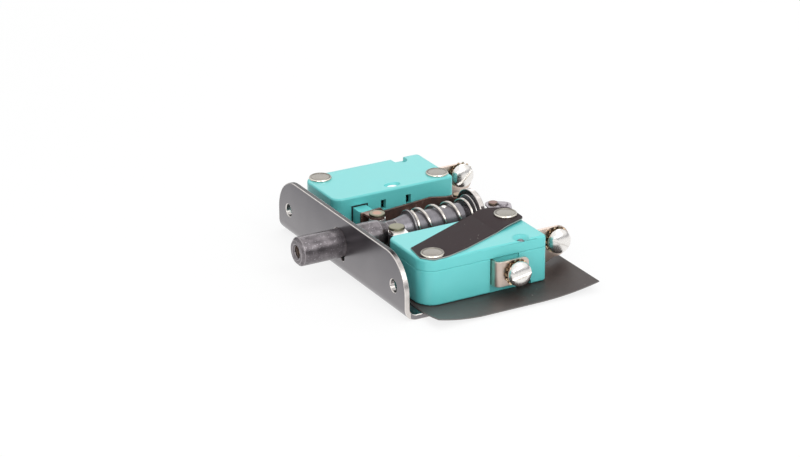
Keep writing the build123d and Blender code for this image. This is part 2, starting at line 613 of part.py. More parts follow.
def switch_cover():
    """Right moulded cover, with the conical sink of the gauge hole."""
    bottom = PARTING + FIT_GAP
    body = prism(housing_outline(), bottom, SWITCH_TOP)
    body = fillet(body.faces().sort_by(Axis.Z)[-1].edges(), TOP_ROUND)
    body = chamfer(body.faces().sort_by(Axis.Z)[0].edges(), PARTING_BREAK)
    body -= cavity(bottom - 1, SWITCH_TOP - FLOOR)
    body -= through_holes(bottom, SWITCH_TOP)
    slope = (GAUGE_SINK_R - GAUGE_HOLE_R) / GAUGE_SINK
    over = 0.5
    sink = Cone(
        GAUGE_HOLE_R, GAUGE_SINK_R + slope * over, GAUGE_SINK + over, align=(Align.CENTER, Align.CENTER, Align.MIN))
    return body - Pos(*GAUGE_HOLE, up(SWITCH_TOP - GAUGE_SINK)) * sink


def switch_rivets(side):
    """Two rivets, flush under the base plate, with low domed heads on top."""
    tops = {"left": (SWITCH_TOP, SWITCH_TOP), "right": (STRAP_LOW + STRAP, STRAP_HIGH + STRAP)}[side]
    rivets = []
    for place, top in zip((RIVET_FRONT, RIVET_REAR), tops):
        seat = top + FIT_GAP
        head = upright(place, RIVET_HEAD_R, seat, seat + RIVET_HEAD)
        head = fillet(head.edges().filter_by(GeomType.CIRCLE).group_by(Axis.Z)[-1], RIVET_HEAD * 0.6)
        rivets.append(head + upright(place, RIVET_R, 0, seat))
    return rivets


def button():
    """Right button: a rounded nose outside, a flange and a small rounded tip inside."""
    half = BUTTON_WIDTH / 2
    high = BUTTON_LOW + BUTTON_HEIGHT
    flange_x = CAVITY_INNER + END_GAP
    nose = upright((BUTTON_NOSE_X, BUTTON_Y), BUTTON_NOSE_R, BUTTON_LOW, high)
    nose &= block(
        BUTTON_NOSE_X - BUTTON_NOSE_R - 1, BUTTON_NOSE_X, BUTTON_Y - half, BUTTON_Y + half, BUTTON_LOW, high)
    body = nose + block(BUTTON_NOSE_X, flange_x, BUTTON_Y - half, BUTTON_Y + half, BUTTON_LOW, high)
    reach = BUTTON_FLANGE_REACH
    body += block(
        flange_x, flange_x + BUTTON_FLANGE, BUTTON_Y - half - reach, BUTTON_Y + half + reach,
        BUTTON_LOW - reach, high + reach)
    tip_x = BUTTON_TIP_X - BUTTON_TIP_R
    body += upright((tip_x, BUTTON_Y), BUTTON_TIP_R, BUTTON_LOW, high)
    return body


def snap_blade():
    """Right blade: a rolled end in the seat of the common strip, and a flat spring leaf."""
    x, y = BLADE_PIVOT
    low = SWITCH_MIDDLE - BLADE_HEIGHT / 2
    high = SWITCH_MIDDLE + BLADE_HEIGHT / 2
    body = upright(BLADE_PIVOT, BLADE_ROLL_R, low, high)
    body += block(x - BLADE_SHEET / 2, x + BLADE_SHEET / 2, y, BLADE_END, low, high)
    hole = Pos(x, CONTACT_Y, up(SWITCH_MIDDLE)) * Rot(0, 90, 0) * Cylinder(CONTACT_SHANK_R + FIT_GAP, 2)
    return body - hole


def contact_rivet(face_x, strip_thickness, facing):
    """Domed contact on a strip face, its shank through the strip."""
    shank_length = strip_thickness + FIT_GAP
    head = Cylinder(CONTACT_R, CONTACT_HEAD, align=(Align.CENTER, Align.CENTER, Align.MIN))
    head = fillet(head.edges().filter_by(GeomType.CIRCLE).group_by(Axis.Z)[-1], CONTACT_HEAD * 0.7)
    body = head + Pos(0, 0, -shank_length / 2) * Cylinder(CONTACT_SHANK_R, shank_length)
    return Pos(face_x + facing * FIT_GAP, CONTACT_Y, up(SWITCH_MIDDLE)) * Rot(0, 90 * facing, 0) * body


def side_terminal():
    """Right common strip: blade seat inside, plate for the screw outside."""
    low, high = SWITCH_MIDDLE - STRIP_HEIGHT / 2, SWITCH_MIDDLE + STRIP_HEIGHT / 2
    x, y = BLADE_PIVOT
    neck_x = REAR_BLOCK_X + 1
    body = strip([(x, y), (STRIP_X, y), (STRIP_X, STRIP_EXIT_Y), (neck_x, STRIP_EXIT_Y)], low, high)
    body -= upright(BLADE_PIVOT, BLADE_ROLL_R + END_GAP, low - 1, high + 1)
    body -= block(x - 3, x + BLADE_ROLL_R / 2, y - 3, y + 3, low - 1, high + 1)
    half = SIDE_PLATE_HEIGHT / 2
    body += strip(
        [(REAR_BLOCK_X, STRIP_EXIT_Y), (SIDE_PLATE_X, STRIP_EXIT_Y), (SIDE_PLATE_X, SIDE_PLATE_END)],
        SIDE_PLATE_LEVEL - half, SIDE_PLATE_LEVEL + half)
    body = fillet(body.edges().filter_by(Axis.X).group_by(Axis.Y)[-1], SIDE_PLATE_CORNER)
    hole = Rot(0, 90, 0) * Cylinder(SCREW_R + FIT_GAP, 3 * STRIP)
    return body - Pos(SIDE_PLATE_X, SIDE_SCREW_Y, up(SIDE_SCREW_HEIGHT)) * hole


def end_terminal(side):
    """Rear strip in the right switch's place: fixed contact inside, upright plate for the screw outside."""
    low, high = SWITCH_MIDDLE - STRIP_HEIGHT / 2, SWITCH_MIDDLE + STRIP_HEIGHT / 2
    jog = END_PLATE_X - FIXED_STRIP_X
    jog_y = REAR_BLOCK_Y - jog / 2
    body = strip(
        [(FIXED_STRIP_X, FIXED_STRIP_FRONT), (FIXED_STRIP_X, jog_y), (END_PLATE_X, jog_y + jog),
         (END_PLATE_X, SWITCH_REAR + STRIP)], low, high)
    bottom, top = END_PLATE_BOTTOM[side], END_PLATE_TOP[side]
    start = SWITCH_REAR + FIT_GAP
    slant = END_PLATE_ROOT + 2 * END_PLATE_ROOT_DROP
    root = bottom - END_PLATE_ROOT_DROP
    corners = [
        (start, root), (END_PLATE_ROOT, root), (slant, bottom), (END_PLATE_END, bottom), (END_PLATE_END, top),
        (start, top)]
    outline = make_face(Polyline(*[(END_PLATE_X - STRIP / 2, y, up(h)) for y, h in corners], close=True))
    plate = extrude(outline, STRIP, dir=(1, 0, 0))
    plate = fillet(plate.edges().filter_by(Axis.X).group_by(Axis.Y)[-1], END_PLATE_CORNER)
    body += plate
    screw_hole = Rot(0, 90, 0) * Cylinder(SCREW_R + FIT_GAP, 3 * STRIP)
    body -= Pos(END_PLATE_X, END_SCREW_Y, up(END_SCREW_HEIGHT[side])) * screw_hole
    contact_hole = Rot(0, 90, 0) * Cylinder(CONTACT_SHANK_R + FIT_GAP, 3 * STRIP)
    return body - Pos(FIXED_STRIP_X, CONTACT_Y, up(SWITCH_MIDDLE)) * contact_hole


def screw(slot_turn):
    """Slotted pan-head screw, its head's seat at the origin, and its shank along -X."""
    shank = Pos(-SCREW_SHANK / 2, 0, 0) * Rot(0, 90, 0) * Cylinder(SCREW_R, SCREW_SHANK)
    shank = chamfer(shank.edges().filter_by(GeomType.CIRCLE).group_by(Axis.X)[0], 0.3)
    head = Rot(0, 0, -90) * dome_head(SCREW_HEAD_R, SCREW_HEAD, SCREW_HEAD_EDGE)
    slot = Pos(SCREW_HEAD - SCREW_SLOT_DEPTH + 1, 0, 0) * Box(2, 4 * SCREW_HEAD_R, SCREW_SLOT)
    return shank + (head - Rot(slot_turn, 0, 0) * slot)


def lock_washer():
    """Toothed washer, centred on the origin, across X."""
    ring = Circle(LOCK_WASHER_R - LOCK_TOOTH) - Circle(SCREW_R + 2 * FIT_GAP)
    tooth = Rectangle(2 * LOCK_TOOTH, LOCK_TOOTH)
    for index in range(LOCK_TEETH):
        ring += Rot(0, 0, 360 * index / LOCK_TEETH) * Pos(LOCK_WASHER_R - LOCK_TOOTH, 0) * tooth
    return Pos(-LOCK_WASHER / 2, 0, 0) * Rot(0, 90, 0) * extrude(ring, LOCK_WASHER)


def screw_seats(side):
    """Middle of each lock washer and the way its screw's head faces. Both end screws face the same way."""
    reach = STRIP / 2 + FIT_GAP + LOCK_WASHER / 2
    out = -1 if side == "left" else 1
    side_height = 2 * SWITCH_MIDDLE - SIDE_SCREW_HEIGHT if side == "left" else SIDE_SCREW_HEIGHT
    return [
        (out * (SIDE_PLATE_X + reach), SIDE_SCREW_Y, up(side_height), out),
        (out * END_PLATE_X + reach, END_SCREW_Y, up(END_SCREW_HEIGHT[side]), 1)]


def terminal_screws(side):
    """Side and end screw of a switch."""
    solids = []
    for (x, y, z, facing), slot_turn in zip(screw_seats(side), SCREW_SLOT_TURNS[side]):
        turn = Rot(0, 0, 0) if facing > 0 else Rot(0, 0, 180)
        solids.append(Pos(x + facing * (LOCK_WASHER / 2 + FIT_GAP), y, z) * turn * screw(slot_turn))
    return solids


def lock_washers(side):
    """The toothed washer under each screw head."""
    return [Pos(x, y, z) * lock_washer() for x, y, z, facing in screw_seats(side)]


def paper_section(y, flap, centre):
    """Section of the insulating sheet across X, with its free edges at their own height."""
    half = FLANGE_WIDTH / 2
    wide = PAPER_HALF_WIDTH
    points = [(-wide, flap), (-half, centre), (half, centre), (wide, flap)]
    low = [(x, y, up(h)) for x, h in points]
    high = [(x, y, up(h + PAPER)) for x, h in reversed(points)]
    return make_face(Polyline(*low, *high, close=True))


def insulating_sheet():
    """Thin sheet on the base plate: its long edges hang a little, its front corners and rear edge curl up."""
    flat = PAPER_BOTTOM
    sag = flat - PAPER_FLAP_DROP
    middle = (PAPER_FLAT_FROM + BASE_REAR) / 2
    stations = [(PAPER_FRONT, flat + PAPER_CURL), (PAPER_FLAT_FROM, sag), (middle, sag), (BASE_REAR, sag)]
    body = loft([paper_section(y, flap, flat) for y, flap in stations])
    tail = PAPER_REAR - BASE_REAR
    ends = [(BASE_REAR, sag, flat), (BASE_REAR + tail / 2, sag + PAPER_CURL * 0.4, flat + PAPER_CURL * 0.3),
            (PAPER_REAR, flat + PAPER_CURL, flat + PAPER_CURL)]
    body += loft([paper_section(y, flap, centre) for y, flap, centre in ends])
    width = TAB_HALF_WIDTH + SLIT / 2
    body -= block(-width, width, TAB_FACE - BEND_INSIDE - SLIT, TAB_REAR + SLIT / 2, -SWITCH_BOTTOM, SWITCH_TOP)
    for side in (-1, 1):
        for x, y in (RIVET_FRONT, RIVET_REAR):
            body -= upright((side * x, y), RIVET_R + FIT_GAP, 0, SWITCH_TOP)
        body -= upright((side * HINGE_X, HINGE_Y), PIN_R + FIT_GAP, 0, SWITCH_TOP)
    return body


def insulating_strap():
    """Dark strap on the right switch, under both rivets. It steps up over the link plate at its rear."""
    corners = [(RIVET_FRONT[0] + dx, RIVET_FRONT[1] + dy) for dx, dy in STRAP_FRONT]
    corners += [(RIVET_REAR[0] + dx, RIVET_REAR[1] + dy) for dx, dy in STRAP_REAR]
    radii = STRAP_FRONT_ROUNDS + STRAP_REAR_ROUNDS
    outline = plan(corners, [(corner, radius) for corner, radius in zip(corners, radii) if radius])
    start, end = [RIVET_REAR[1] + step for step in STRAP_STEP]
    steps = [(0, STRAP_LOW), (start, STRAP_LOW), (end, STRAP_HIGH), (2 * SWITCH_REAR, STRAP_HIGH)]
    low = [(0, y, up(h)) for y, h in steps]
    high = [(0, y, up(h + STRAP)) for y, h in reversed(steps)]
    side_view = make_face(Polyline(*low, *high, close=True))
    body = extrude(side_view, 2 * SWITCH_OUTER, dir=(1, 0, 0)) & prism(outline, 0, 2 * STRAP_HIGH)
    for place in (RIVET_FRONT, RIVET_REAR):
        body -= upright(place, RIVET_R + FIT_GAP, 0, 2 * STRAP_HIGH)
    return body


def moving_contact():
    """Contact on the right blade, facing the fixed one."""
    return contact_rivet(BLADE_PIVOT[0] + BLADE_SHEET / 2, BLADE_SHEET, 1)


def fixed_contact():
    """Contact on the right rear strip, facing the blade."""
    return contact_rivet(FIXED_STRIP_X - STRIP / 2, STRIP, -1)


def shared_pieces():
    """Pieces of which the unit has one."""
    return {
        "bracket": [bracket()],
        "insulating_sheet": [insulating_sheet()],
        "plunger": [plunger()],
        "guide_sleeve": [guide_sleeve()],
        "cross_pin": [cross_pin()],
        "spring_clip": [spring_clip()],
        "return_spring": [return_spring()],
        "spring_seat": [spring_seat()],
        "retaining_ring": [retaining_ring()],
        "insulating_strap": [insulating_strap()],
        "hinge_stay": [hinge_stay()],
        "hinge_spacer": [hinge_spacer()],
    }


def lever_pieces(side):
    """Pieces of one lever, and the rivets and rear terminal of its switch, in the right-hand places."""
    return {
        "lever": [lever()],
        "hinge_pin": [hinge_pin(side)],
        "roller_pin": [roller_pin()],
        "roller": [roller()],
        "roller_washers": roller_washers(),
        "switch_rivets": switch_rivets(side),
        "end_terminal": [end_terminal(side)],
        "fixed_contact": [fixed_contact()],
    }


def switch_pieces():
    """Moulded pieces, blade and side terminal of the right switch, which the left one has turned over."""
    return {
        "switch_base": [switch_base()],
        "switch_cover": [switch_cover()],
        "button": [button()],
        "snap_blade": [snap_blade()],
        "moving_contact": [moving_contact()],
        "side_terminal": [side_terminal()],
    }


def screw_pieces(side):
    """Terminal screws and washers, in their own places."""
    return {
        "terminal_screws": terminal_screws(side),
        "lock_washers": lock_washers(side),
    }


def turned_over(shape):
    """The left switch is the right one turned over about the plunger's direction."""
    return Pos(0, 0, 2 * up(SWITCH_MIDDLE)) * Rot(0, 180, 0) * shape


def save(name, shapes):
    """Write one node: a single solid, or a group of separate ones."""
    solids = [solid for shape in shapes for solid in shape.solids()]
    assert len(solids) == len(shapes), name
    export_step(solids[0] if len(solids) == 1 else Compound(solids), f"parts/{name}.step")


os.makedirs("parts", exist_ok=True)
for name, shapes in shared_pieces().items():
    save(name, shapes)
for name, shapes in lever_pieces("right").items():
    save("right_" + name, shapes)
for name, shapes in lever_pieces("left").items():
    save("left_" + name, [mirror(shape, about=Plane.YZ) for shape in shapes])
for name, shapes in switch_pieces().items():
    save("right_" + name, shapes)
    save("left_" + name, [turned_over(shape) for shape in shapes])
for side in ("left", "right"):
    for name, shapes in screw_pieces(side).items():
        save(f"{side}_{name}", shapes)
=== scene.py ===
"""Plunger-operated double micro switch unit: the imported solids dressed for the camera.

The frame is the part's own: X along the flange, Y along the plunger from its tapped end, Z up, in metres.
"""
import math

import bmesh
import bpy
from mathutils import Matrix, Vector


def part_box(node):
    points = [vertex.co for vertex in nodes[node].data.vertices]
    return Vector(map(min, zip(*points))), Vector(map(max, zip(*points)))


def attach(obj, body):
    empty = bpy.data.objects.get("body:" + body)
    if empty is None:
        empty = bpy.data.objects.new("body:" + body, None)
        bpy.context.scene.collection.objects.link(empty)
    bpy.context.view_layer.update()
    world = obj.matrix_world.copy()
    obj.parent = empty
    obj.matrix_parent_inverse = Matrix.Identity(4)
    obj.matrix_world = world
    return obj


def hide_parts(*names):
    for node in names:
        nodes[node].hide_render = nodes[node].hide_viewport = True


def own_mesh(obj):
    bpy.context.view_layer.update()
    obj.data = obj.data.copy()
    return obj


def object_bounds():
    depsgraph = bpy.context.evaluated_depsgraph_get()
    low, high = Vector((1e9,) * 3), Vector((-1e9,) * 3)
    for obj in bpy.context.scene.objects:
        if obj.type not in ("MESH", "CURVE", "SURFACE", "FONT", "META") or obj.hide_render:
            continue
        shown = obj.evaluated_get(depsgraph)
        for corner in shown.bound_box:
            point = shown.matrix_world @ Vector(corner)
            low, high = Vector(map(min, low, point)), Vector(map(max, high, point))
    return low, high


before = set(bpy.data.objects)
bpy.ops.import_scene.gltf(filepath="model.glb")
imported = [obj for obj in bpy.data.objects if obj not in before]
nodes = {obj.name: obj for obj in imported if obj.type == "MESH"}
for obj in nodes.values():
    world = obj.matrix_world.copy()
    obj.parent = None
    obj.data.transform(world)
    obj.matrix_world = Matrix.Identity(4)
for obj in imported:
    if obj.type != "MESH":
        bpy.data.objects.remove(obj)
cad_low, cad_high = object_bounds()
MM = 0.001
scene = bpy.context.scene

# Camera: a long lens looks down on the unit from the right of its tapped end.
# Its place was solved from the flange, its holes, the plunger and the switches in the photograph.
VIEW_AZIMUTH = math.radians(60.89)
VIEW_ELEVATION = math.radians(22.686)
VIEW_ROLL = math.radians(-0.318)
VIEW_DISTANCE = 728.53 * MM
VIEW_TARGET = Vector((-11.374, 25.0, -4.0)) * MM
FOCAL_PIXELS = 2635.1
PHOTO_WIDTH = 800
SENSOR_MM = 36.0
LENS_NEAR = 10 * MM


def linked(name, data):
    """New object in the scene."""
    made = bpy.data.objects.new(name, data)
    scene.collection.objects.link(made)
    return made


back = Vector((
    math.sin(VIEW_AZIMUTH) * math.cos(VIEW_ELEVATION),
    -math.cos(VIEW_AZIMUTH) * math.cos(VIEW_ELEVATION),
    math.sin(VIEW_ELEVATION)))
level = Vector((0, 0, 1)).cross(back).normalized()
upward = back.cross(level)
right = level * math.cos(VIEW_ROLL) + upward * math.sin(VIEW_ROLL)
above = upward * math.cos(VIEW_ROLL) - level * math.sin(VIEW_ROLL)
camera_data = bpy.data.cameras.new("camera")
camera_data.sensor_width = SENSOR_MM
camera_data.lens = FOCAL_PIXELS * SENSOR_MM / PHOTO_WIDTH
camera_data.clip_start = LENS_NEAR
camera = linked("camera", camera_data)
turn = Matrix((right, above, back)).transposed().to_4x4()
camera.matrix_world = Matrix.Translation(VIEW_TARGET + back * VIEW_DISTANCE) @ turn
scene.camera = camera
scene.view_settings.view_transform = "Standard"


# Studio: a white table under soft boxes, with white all round and a darker band of room at table height.
# The table and the world look white to the camera, and still take the unit's shadow.
def colour(code):
    """Linear RGBA of an sRGB hex colour."""
    parts = [int(code[start:start + 2], 16) / 255 for start in (1, 3, 5)]
    return tuple(p / 12.92 if p <= 0.04045 else ((p + 0.055) / 1.055) ** 2.4 for p in parts) + (1.0,)


def add(tree, kind, sockets=None, **settings):
    """Add a node with its settings, and give its sockets a value or a link."""
    made = tree.nodes.new(kind)
    for name, value in settings.items():
        setattr(made, name, value)
    for name, value in (sockets or {}).items():
        if isinstance(value, bpy.types.NodeSocket):
            tree.links.new(value, made.inputs[name])
        else:
            made.inputs[name].default_value = value
    return made


def maths(tree, operation, *values, clamp=False):
    """Result of a maths node on sockets and numbers."""
    made = add(tree, "ShaderNodeMath", dict(enumerate(values)), operation=operation, use_clamp=clamp)
    return made.outputs[0]


TABLE_HEIGHT = cad_low[2]
TABLE_SIZE = 6.0
AMBIENT = 0.85
SHADOW_SHARE = 0.2
UNIT_MIDDLE = Vector((0, 20 * MM, 0))

table_mesh = bpy.data.meshes.new("table")
half = TABLE_SIZE / 2
table_mesh.from_pydata(
    [(x, y, TABLE_HEIGHT) for x, y in ((-half, -half), (half, -half), (half, half), (-half, half))], [],
    [(0, 1, 2, 3)])
table = linked("table", table_mesh)
white_table = bpy.data.materials.new("white laminate table")
white_table.use_nodes = True
tree = white_table.node_tree
tree.nodes.clear()
light_path = add(tree, "ShaderNodeLightPath")
camera_ray, glossy_ray, transmission_ray = [
    light_path.outputs["Is " + kind + " Ray"] for kind in ("Camera", "Glossy", "Transmission")]
seen = maths(tree, "ADD", maths(tree, "ADD", camera_ray, glossy_ray, clamp=True), transmission_ray, clamp=True)
share = maths(tree, "MULTIPLY", seen, 1 - SHADOW_SHARE)
matte = add(tree, "ShaderNodeBsdfDiffuse", {"Color": colour("#f2f2f2")})
glow = add(tree, "ShaderNodeEmission", {"Color": colour("#ffffff"), "Strength": 1.0})
blend = add(tree, "ShaderNodeMixShader", {0: share, 1: matte.outputs[0], 2: glow.outputs[0]})
add(tree, "ShaderNodeOutputMaterial", {"Surface": blend.outputs[0]})
table_mesh.materials.append(white_table)

world = bpy.data.worlds.new("white studio")
world.use_nodes = True
tree = world.node_tree
tree.nodes.clear()
light_path = add(tree, "ShaderNodeLightPath")
direction = add(tree, "ShaderNodeTexCoord")
height = add(tree, "ShaderNodeSeparateXYZ", {0: direction.outputs["Generated"]})
walls = add(tree, "ShaderNodeValToRGB", {0: height.outputs["Z"]})
walls.color_ramp.elements[0].position = 0.12
walls.color_ramp.elements[0].color = colour("#8d8d91")
walls.color_ramp.elements[1].position = 0.38
walls.color_ramp.elements[1].color = colour("#ffffff")
ambient = add(tree, "ShaderNodeBackground", {"Color": colour("#ffffff"), "Strength": AMBIENT})
mirrored = add(tree, "ShaderNodeBackground", {"Color": walls.outputs[0], "Strength": 1.0})
plain = add(tree, "ShaderNodeBackground", {"Color": colour("#ffffff"), "Strength": 1.0})
shiny = maths(
    tree, "ADD", light_path.outputs["Is Glossy Ray"], light_path.outputs["Is Transmission Ray"], clamp=True)
surround = add(tree, "ShaderNodeMixShader", {0: shiny, 1: ambient.outputs[0], 2: mirrored.outputs[0]})
whole = add(tree, "ShaderNodeMixShader", {
    0: light_path.outputs["Is Camera Ray"], 1: surround.outputs[0], 2: plain.outputs[0]})
add(tree, "ShaderNodeOutputWorld", {"Surface": whole.outputs[0]})
scene.world = world


def soft_box(name, place, size, watts):
    """Square studio light aimed at the middle of the unit."""
    data = bpy.data.lights.new(name, "AREA")
    data.shape = "SQUARE"
    data.size = size
    data.energy = watts
    lamp = linked(name, data)
    lamp.location = place
    aim = Vector(place) - UNIT_MIDDLE
    lamp.rotation_euler = aim.to_track_quat("Z", "Y").to_euler()


soft_box("overhead_box", (-0.1, 0.2, 0.9), 0.5, 0.8)
soft_box("front_box", (0.55, -0.6, 0.4), 0.4, 1.0)
soft_box("side_box", (0.6, 0.1, 0.5), 0.4, 1.9)
soft_box("far_box", (-0.36, 0.22, 0.17), 0.2, 0.11)


# Bracket: one piece of 1.5 mm cold-rolled steel, blanked, pierced and folded, then dull nickel plated.
# Its arrises are tumbled bright, so they catch the light all round the flange.
BRACKET_BREAK = 0.22 * MM
MERGE_DISTANCE = 0.002 * MM
FLAT_ANGLE = math.radians(0.4)
KEPT_ANGLE = 28.0
FLANGE_BACK = 1.7 * MM
FLANGE_FOOT = -5.0 * MM
FLANGE_CREST = 8.9 * MM
TAB_FROM = 39.0 * MM


def start_material(name):
    """New node material, its tree, the Principled shader on its output and its texture coordinates."""
    material = bpy.data.materials.new(name)
    material.use_nodes = True
    made = material.node_tree
    made.nodes.clear()
    shader = add(made, "ShaderNodeBsdfPrincipled")
    add(made, "ShaderNodeOutputMaterial", {"Surface": shader.outputs[0]})
    return material, made, shader, add(made, "ShaderNodeTexCoord")


def grain_of(tree, vector, scale, detail, distortion=0.0):
    """Noise value at a vector."""
    noise = add(tree, "ShaderNodeTexNoise", {
        "Vector": vector, "Scale": scale, "Detail": detail, "Distortion": distortion})
    return noise.outputs["Fac"]


def tinted(tree, share, first, second):
    """Colour between two, each a hex code or a socket, by a share."""
    ends = [colour(end) if isinstance(end, str) else end for end in (first, second)]
    return add(tree, "ShaderNodeMix", {0: share, 6: ends[0], 7: ends[1]}, data_type="RGBA").outputs[2]


def ranged(tree, value, low, high, at_low=0.0, at_high=1.0):
    """Value taken from one range to another, clamped at both ends."""
    span = add(tree, "ShaderNodeMapRange", {
        "Value": value, "From Min": low, "From Max": high, "To Min": at_low, "To Max": at_high})
    return span.outputs[0]


def bumped(tree, height, strength, distance, normal=None):
    """Normal bumped by a height, on top of another bump where one is given."""
    sockets = {"Height": height, "Strength": strength, "Distance": distance}
    if normal is not None:
        sockets["Normal"] = normal
    return add(tree, "ShaderNodeBump", sockets).outputs[0]


def surface(tree, shader, tone, metallic, roughness, normal=None):
    """Give the shader its colour, metal share and roughness, and its normal where it has a bump."""
    wanted = {"Base Color": tone, "Metallic": metallic, "Roughness": roughness, "Normal": normal}
    for name, value in wanted.items():
        if isinstance(value, bpy.types.NodeSocket):
            tree.links.new(value, shader.inputs[name])
        elif value is not None:
            shader.inputs[name].default_value = value


def two_tone(name, scale, detail, dark, pale, metallic, gloss, dull=None):
    """Material that wavers between two tones, and from gloss to dull where a dull roughness is given."""
    material, tree, shader, place = start_material(name)
    grain = grain_of(tree, place.outputs["Object"], scale, detail)
    roughness = gloss if dull is None else ranged(tree, grain, 0.0, 1.0, gloss, dull)
    surface(tree, shader, tinted(tree, grain, dark, pale), metallic, roughness)
    return material


def plain_mesh_of(piece):
    """Mesh of a piece with its modifiers applied."""
    bpy.context.view_layer.update()
    return bpy.data.meshes.new_from_object(piece.evaluated_get(bpy.context.evaluated_depsgraph_get()))


def mesh_of(work, name):
    """Mesh of a finished bmesh, which is freed."""
    mesh = bpy.data.meshes.new(name)
    work.to_mesh(mesh)
    work.free()
    return mesh


def dressed(node, body, material_slot, edge, materials, keep_angle=KEPT_ANGLE):
    """Merged copy of a CAD node with its sharper edges rounded, which stands for that node."""
    mesh = nodes[node].data.copy()
    mesh.materials.clear()
    work = bmesh.new()
    work.from_mesh(mesh)
    bmesh.ops.remove_doubles(work, verts=work.verts, dist=MERGE_DISTANCE)
    bmesh.ops.dissolve_limit(
        work, angle_limit=FLAT_ANGLE, verts=work.verts, edges=work.edges, use_dissolve_boundaries=False)
    for face in work.faces:
        face.smooth = True
        face.material_index = 0
    work.to_mesh(mesh)
    work.free()
    mesh.set_sharp_from_angle(angle=math.radians(keep_angle))
    piece = linked(node + "_dressed", mesh)
    for material in materials:
        mesh.materials.append(material)
    if edge:
        bevel = piece.modifiers.new("edge", "BEVEL")
        bevel.width = edge
        bevel.segments = 2
        bevel.limit_method = "ANGLE"
        bevel.angle_limit = math.radians(keep_angle)
        bevel.use_clamp_overlap = False
        bevel.material = len(materials) - 1
    flats = piece.modifiers.new("flats", "WEIGHTED_NORMAL")
    flats.keep_sharp = True
    flats.weight = 100
    settle(piece, body, material_slot, node)
    keep_inside(piece.data, *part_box(node))


def keep_inside(mesh, lowest, highest):
    """Move the points that a bevel or a thickness pushed out of a box back to its sides."""
    for vertex in mesh.vertices:
        vertex.co = [min(max(value, least), most) for value, least, most in zip(vertex.co, lowest, highest)]


def settle(piece, body, material_slot, *stands_for):
    """Turn the piece into a plain mesh and put it on its body."""
    if piece.modifiers:
        plain_mesh = plain_mesh_of(piece)
        piece.modifiers.clear()
        piece.data = plain_mesh
    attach(piece, body)
    if stands_for:
        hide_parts(*stands_for)


# Satin nickel plate on rolled sheet: grey, with faint rolling lines along X about 0.15 mm apart and cloudy
# patches a centimetre across, and painted shade that darkens it towards the top of the flange. On the flange's
# blanked edge the colour follows which way each face looks: painted shade where it faces up, and a painted
# highlight round its ends and round the tab.
nickel_sheet, tree, shader, place = start_material("satin nickel-plated sheet steel")
clouds = grain_of(tree, place.outputs["Object"], 90.0, 3.0)
rolled = add(tree, "ShaderNodeMapping", {"Vector": place.outputs["Object"], "Scale": (150.0, 6500.0, 6500.0)})
lines = grain_of(tree, rolled.outputs[0], 1.0, 2.0)
where = add(tree, "ShaderNodeSeparateXYZ", {0: place.outputs["Object"]})
facing = add(tree, "ShaderNodeSeparateXYZ", {0: place.outputs["Normal"]})
# Painted shade: 0.75 at the flange's foot, falling to 0 at its crest, so the sheet darkens upwards.
thin = ranged(tree, where.outputs["Z"], FLANGE_FOOT, FLANGE_CREST, 0.75, 0.0)
clouds_and_painted_shade = maths(tree, "MULTIPLY_ADD", clouds, 0.6, thin, clamp=True)
on_flange = maths(tree, "LESS_THAN", where.outputs["Y"], FLANGE_BACK)
above_base = maths(tree, "GREATER_THAN", where.outputs["Z"], FLANGE_FOOT)
# Painted shade on the upward faces of the flange's edge; painted highlights on faces along X and on the tab's rim.
painted_edge_shade = maths(tree, "MULTIPLY", ranged(tree, facing.outputs["Z"], 0.7, 0.95), on_flange)
painted_edge_shade = maths(tree, "MULTIPLY", painted_edge_shade, above_base)
painted_end_highlight = ranged(tree, maths(tree, "ABSOLUTE", facing.outputs["X"]), 0.25, 0.8)
painted_end_highlight = maths(tree, "MULTIPLY", painted_end_highlight, on_flange)
on_tab = maths(tree, "MULTIPLY", maths(tree, "GREATER_THAN", where.outputs["Y"], TAB_FROM), above_base)
painted_tab_highlight = ranged(tree, maths(tree, "ABSOLUTE", facing.outputs["Y"]), 0.5, 0.2)
painted_tab_highlight = maths(tree, "MULTIPLY", painted_tab_highlight, on_tab)
face_tone = tinted(tree, clouds_and_painted_shade, "#5a585d", "#8b888a")
shaded_edge_tone = tinted(tree, painted_edge_shade, face_tone, "#2e2c2d")
tone = tinted(tree, maths(tree, "MAXIMUM", painted_end_highlight, painted_tab_highlight), shaded_edge_tone, "#d9d3cf")
surface(tree, shader, tone, 1.0, ranged(tree, clouds, 0.0, 1.0, 0.18, 0.3), bumped(tree, lines, 0.12, 0.02 * MM))

# The tumbled edge of the same sheet: brighter, because the plating is rubbed smooth there.
bright_edge = two_tone("tumbled bright sheet edge", 700.0, 2.0, "#c9c2bd", "#f4efec", 1.0, 0.22)
dressed("bracket", "frame", "bracket_steel", BRACKET_BREAK, [nickel_sheet, bright_edge])

# Plunger: free-cutting steel bar, turned and tapped, then blacked in hot oxide, which leaves a grey-brown skin.
# The skin is mottled and rubbed thin on the end's arris, with painted glints as pinprick bright spots;
# turning leaves fine rings.
PLUNGER_AXIS = Vector((0, 0, 1.2)) * MM
THREAD_MOUTH = -12.5 * MM
THREAD_LENGTH = 6.5 * MM
THREAD_CORE = 1.42 * MM
THREAD_OUTSIDE = 1.66 * MM
THREAD_PITCH = 0.7 * MM
PLUNGER_BREAK = 0.14 * MM
TURNED_ANGLE = 16.0

oxide_steel, tree, shader, place = start_material("black-oxided turned steel")
rings = add(tree, "ShaderNodeMapping", {"Vector": place.outputs["Object"], "Scale": (40.0, 9000.0, 40.0)})
turning = grain_of(tree, rings.outputs[0], 1.0, 1.0)
clouds = grain_of(tree, place.outputs["Object"], 420.0, 5.0)
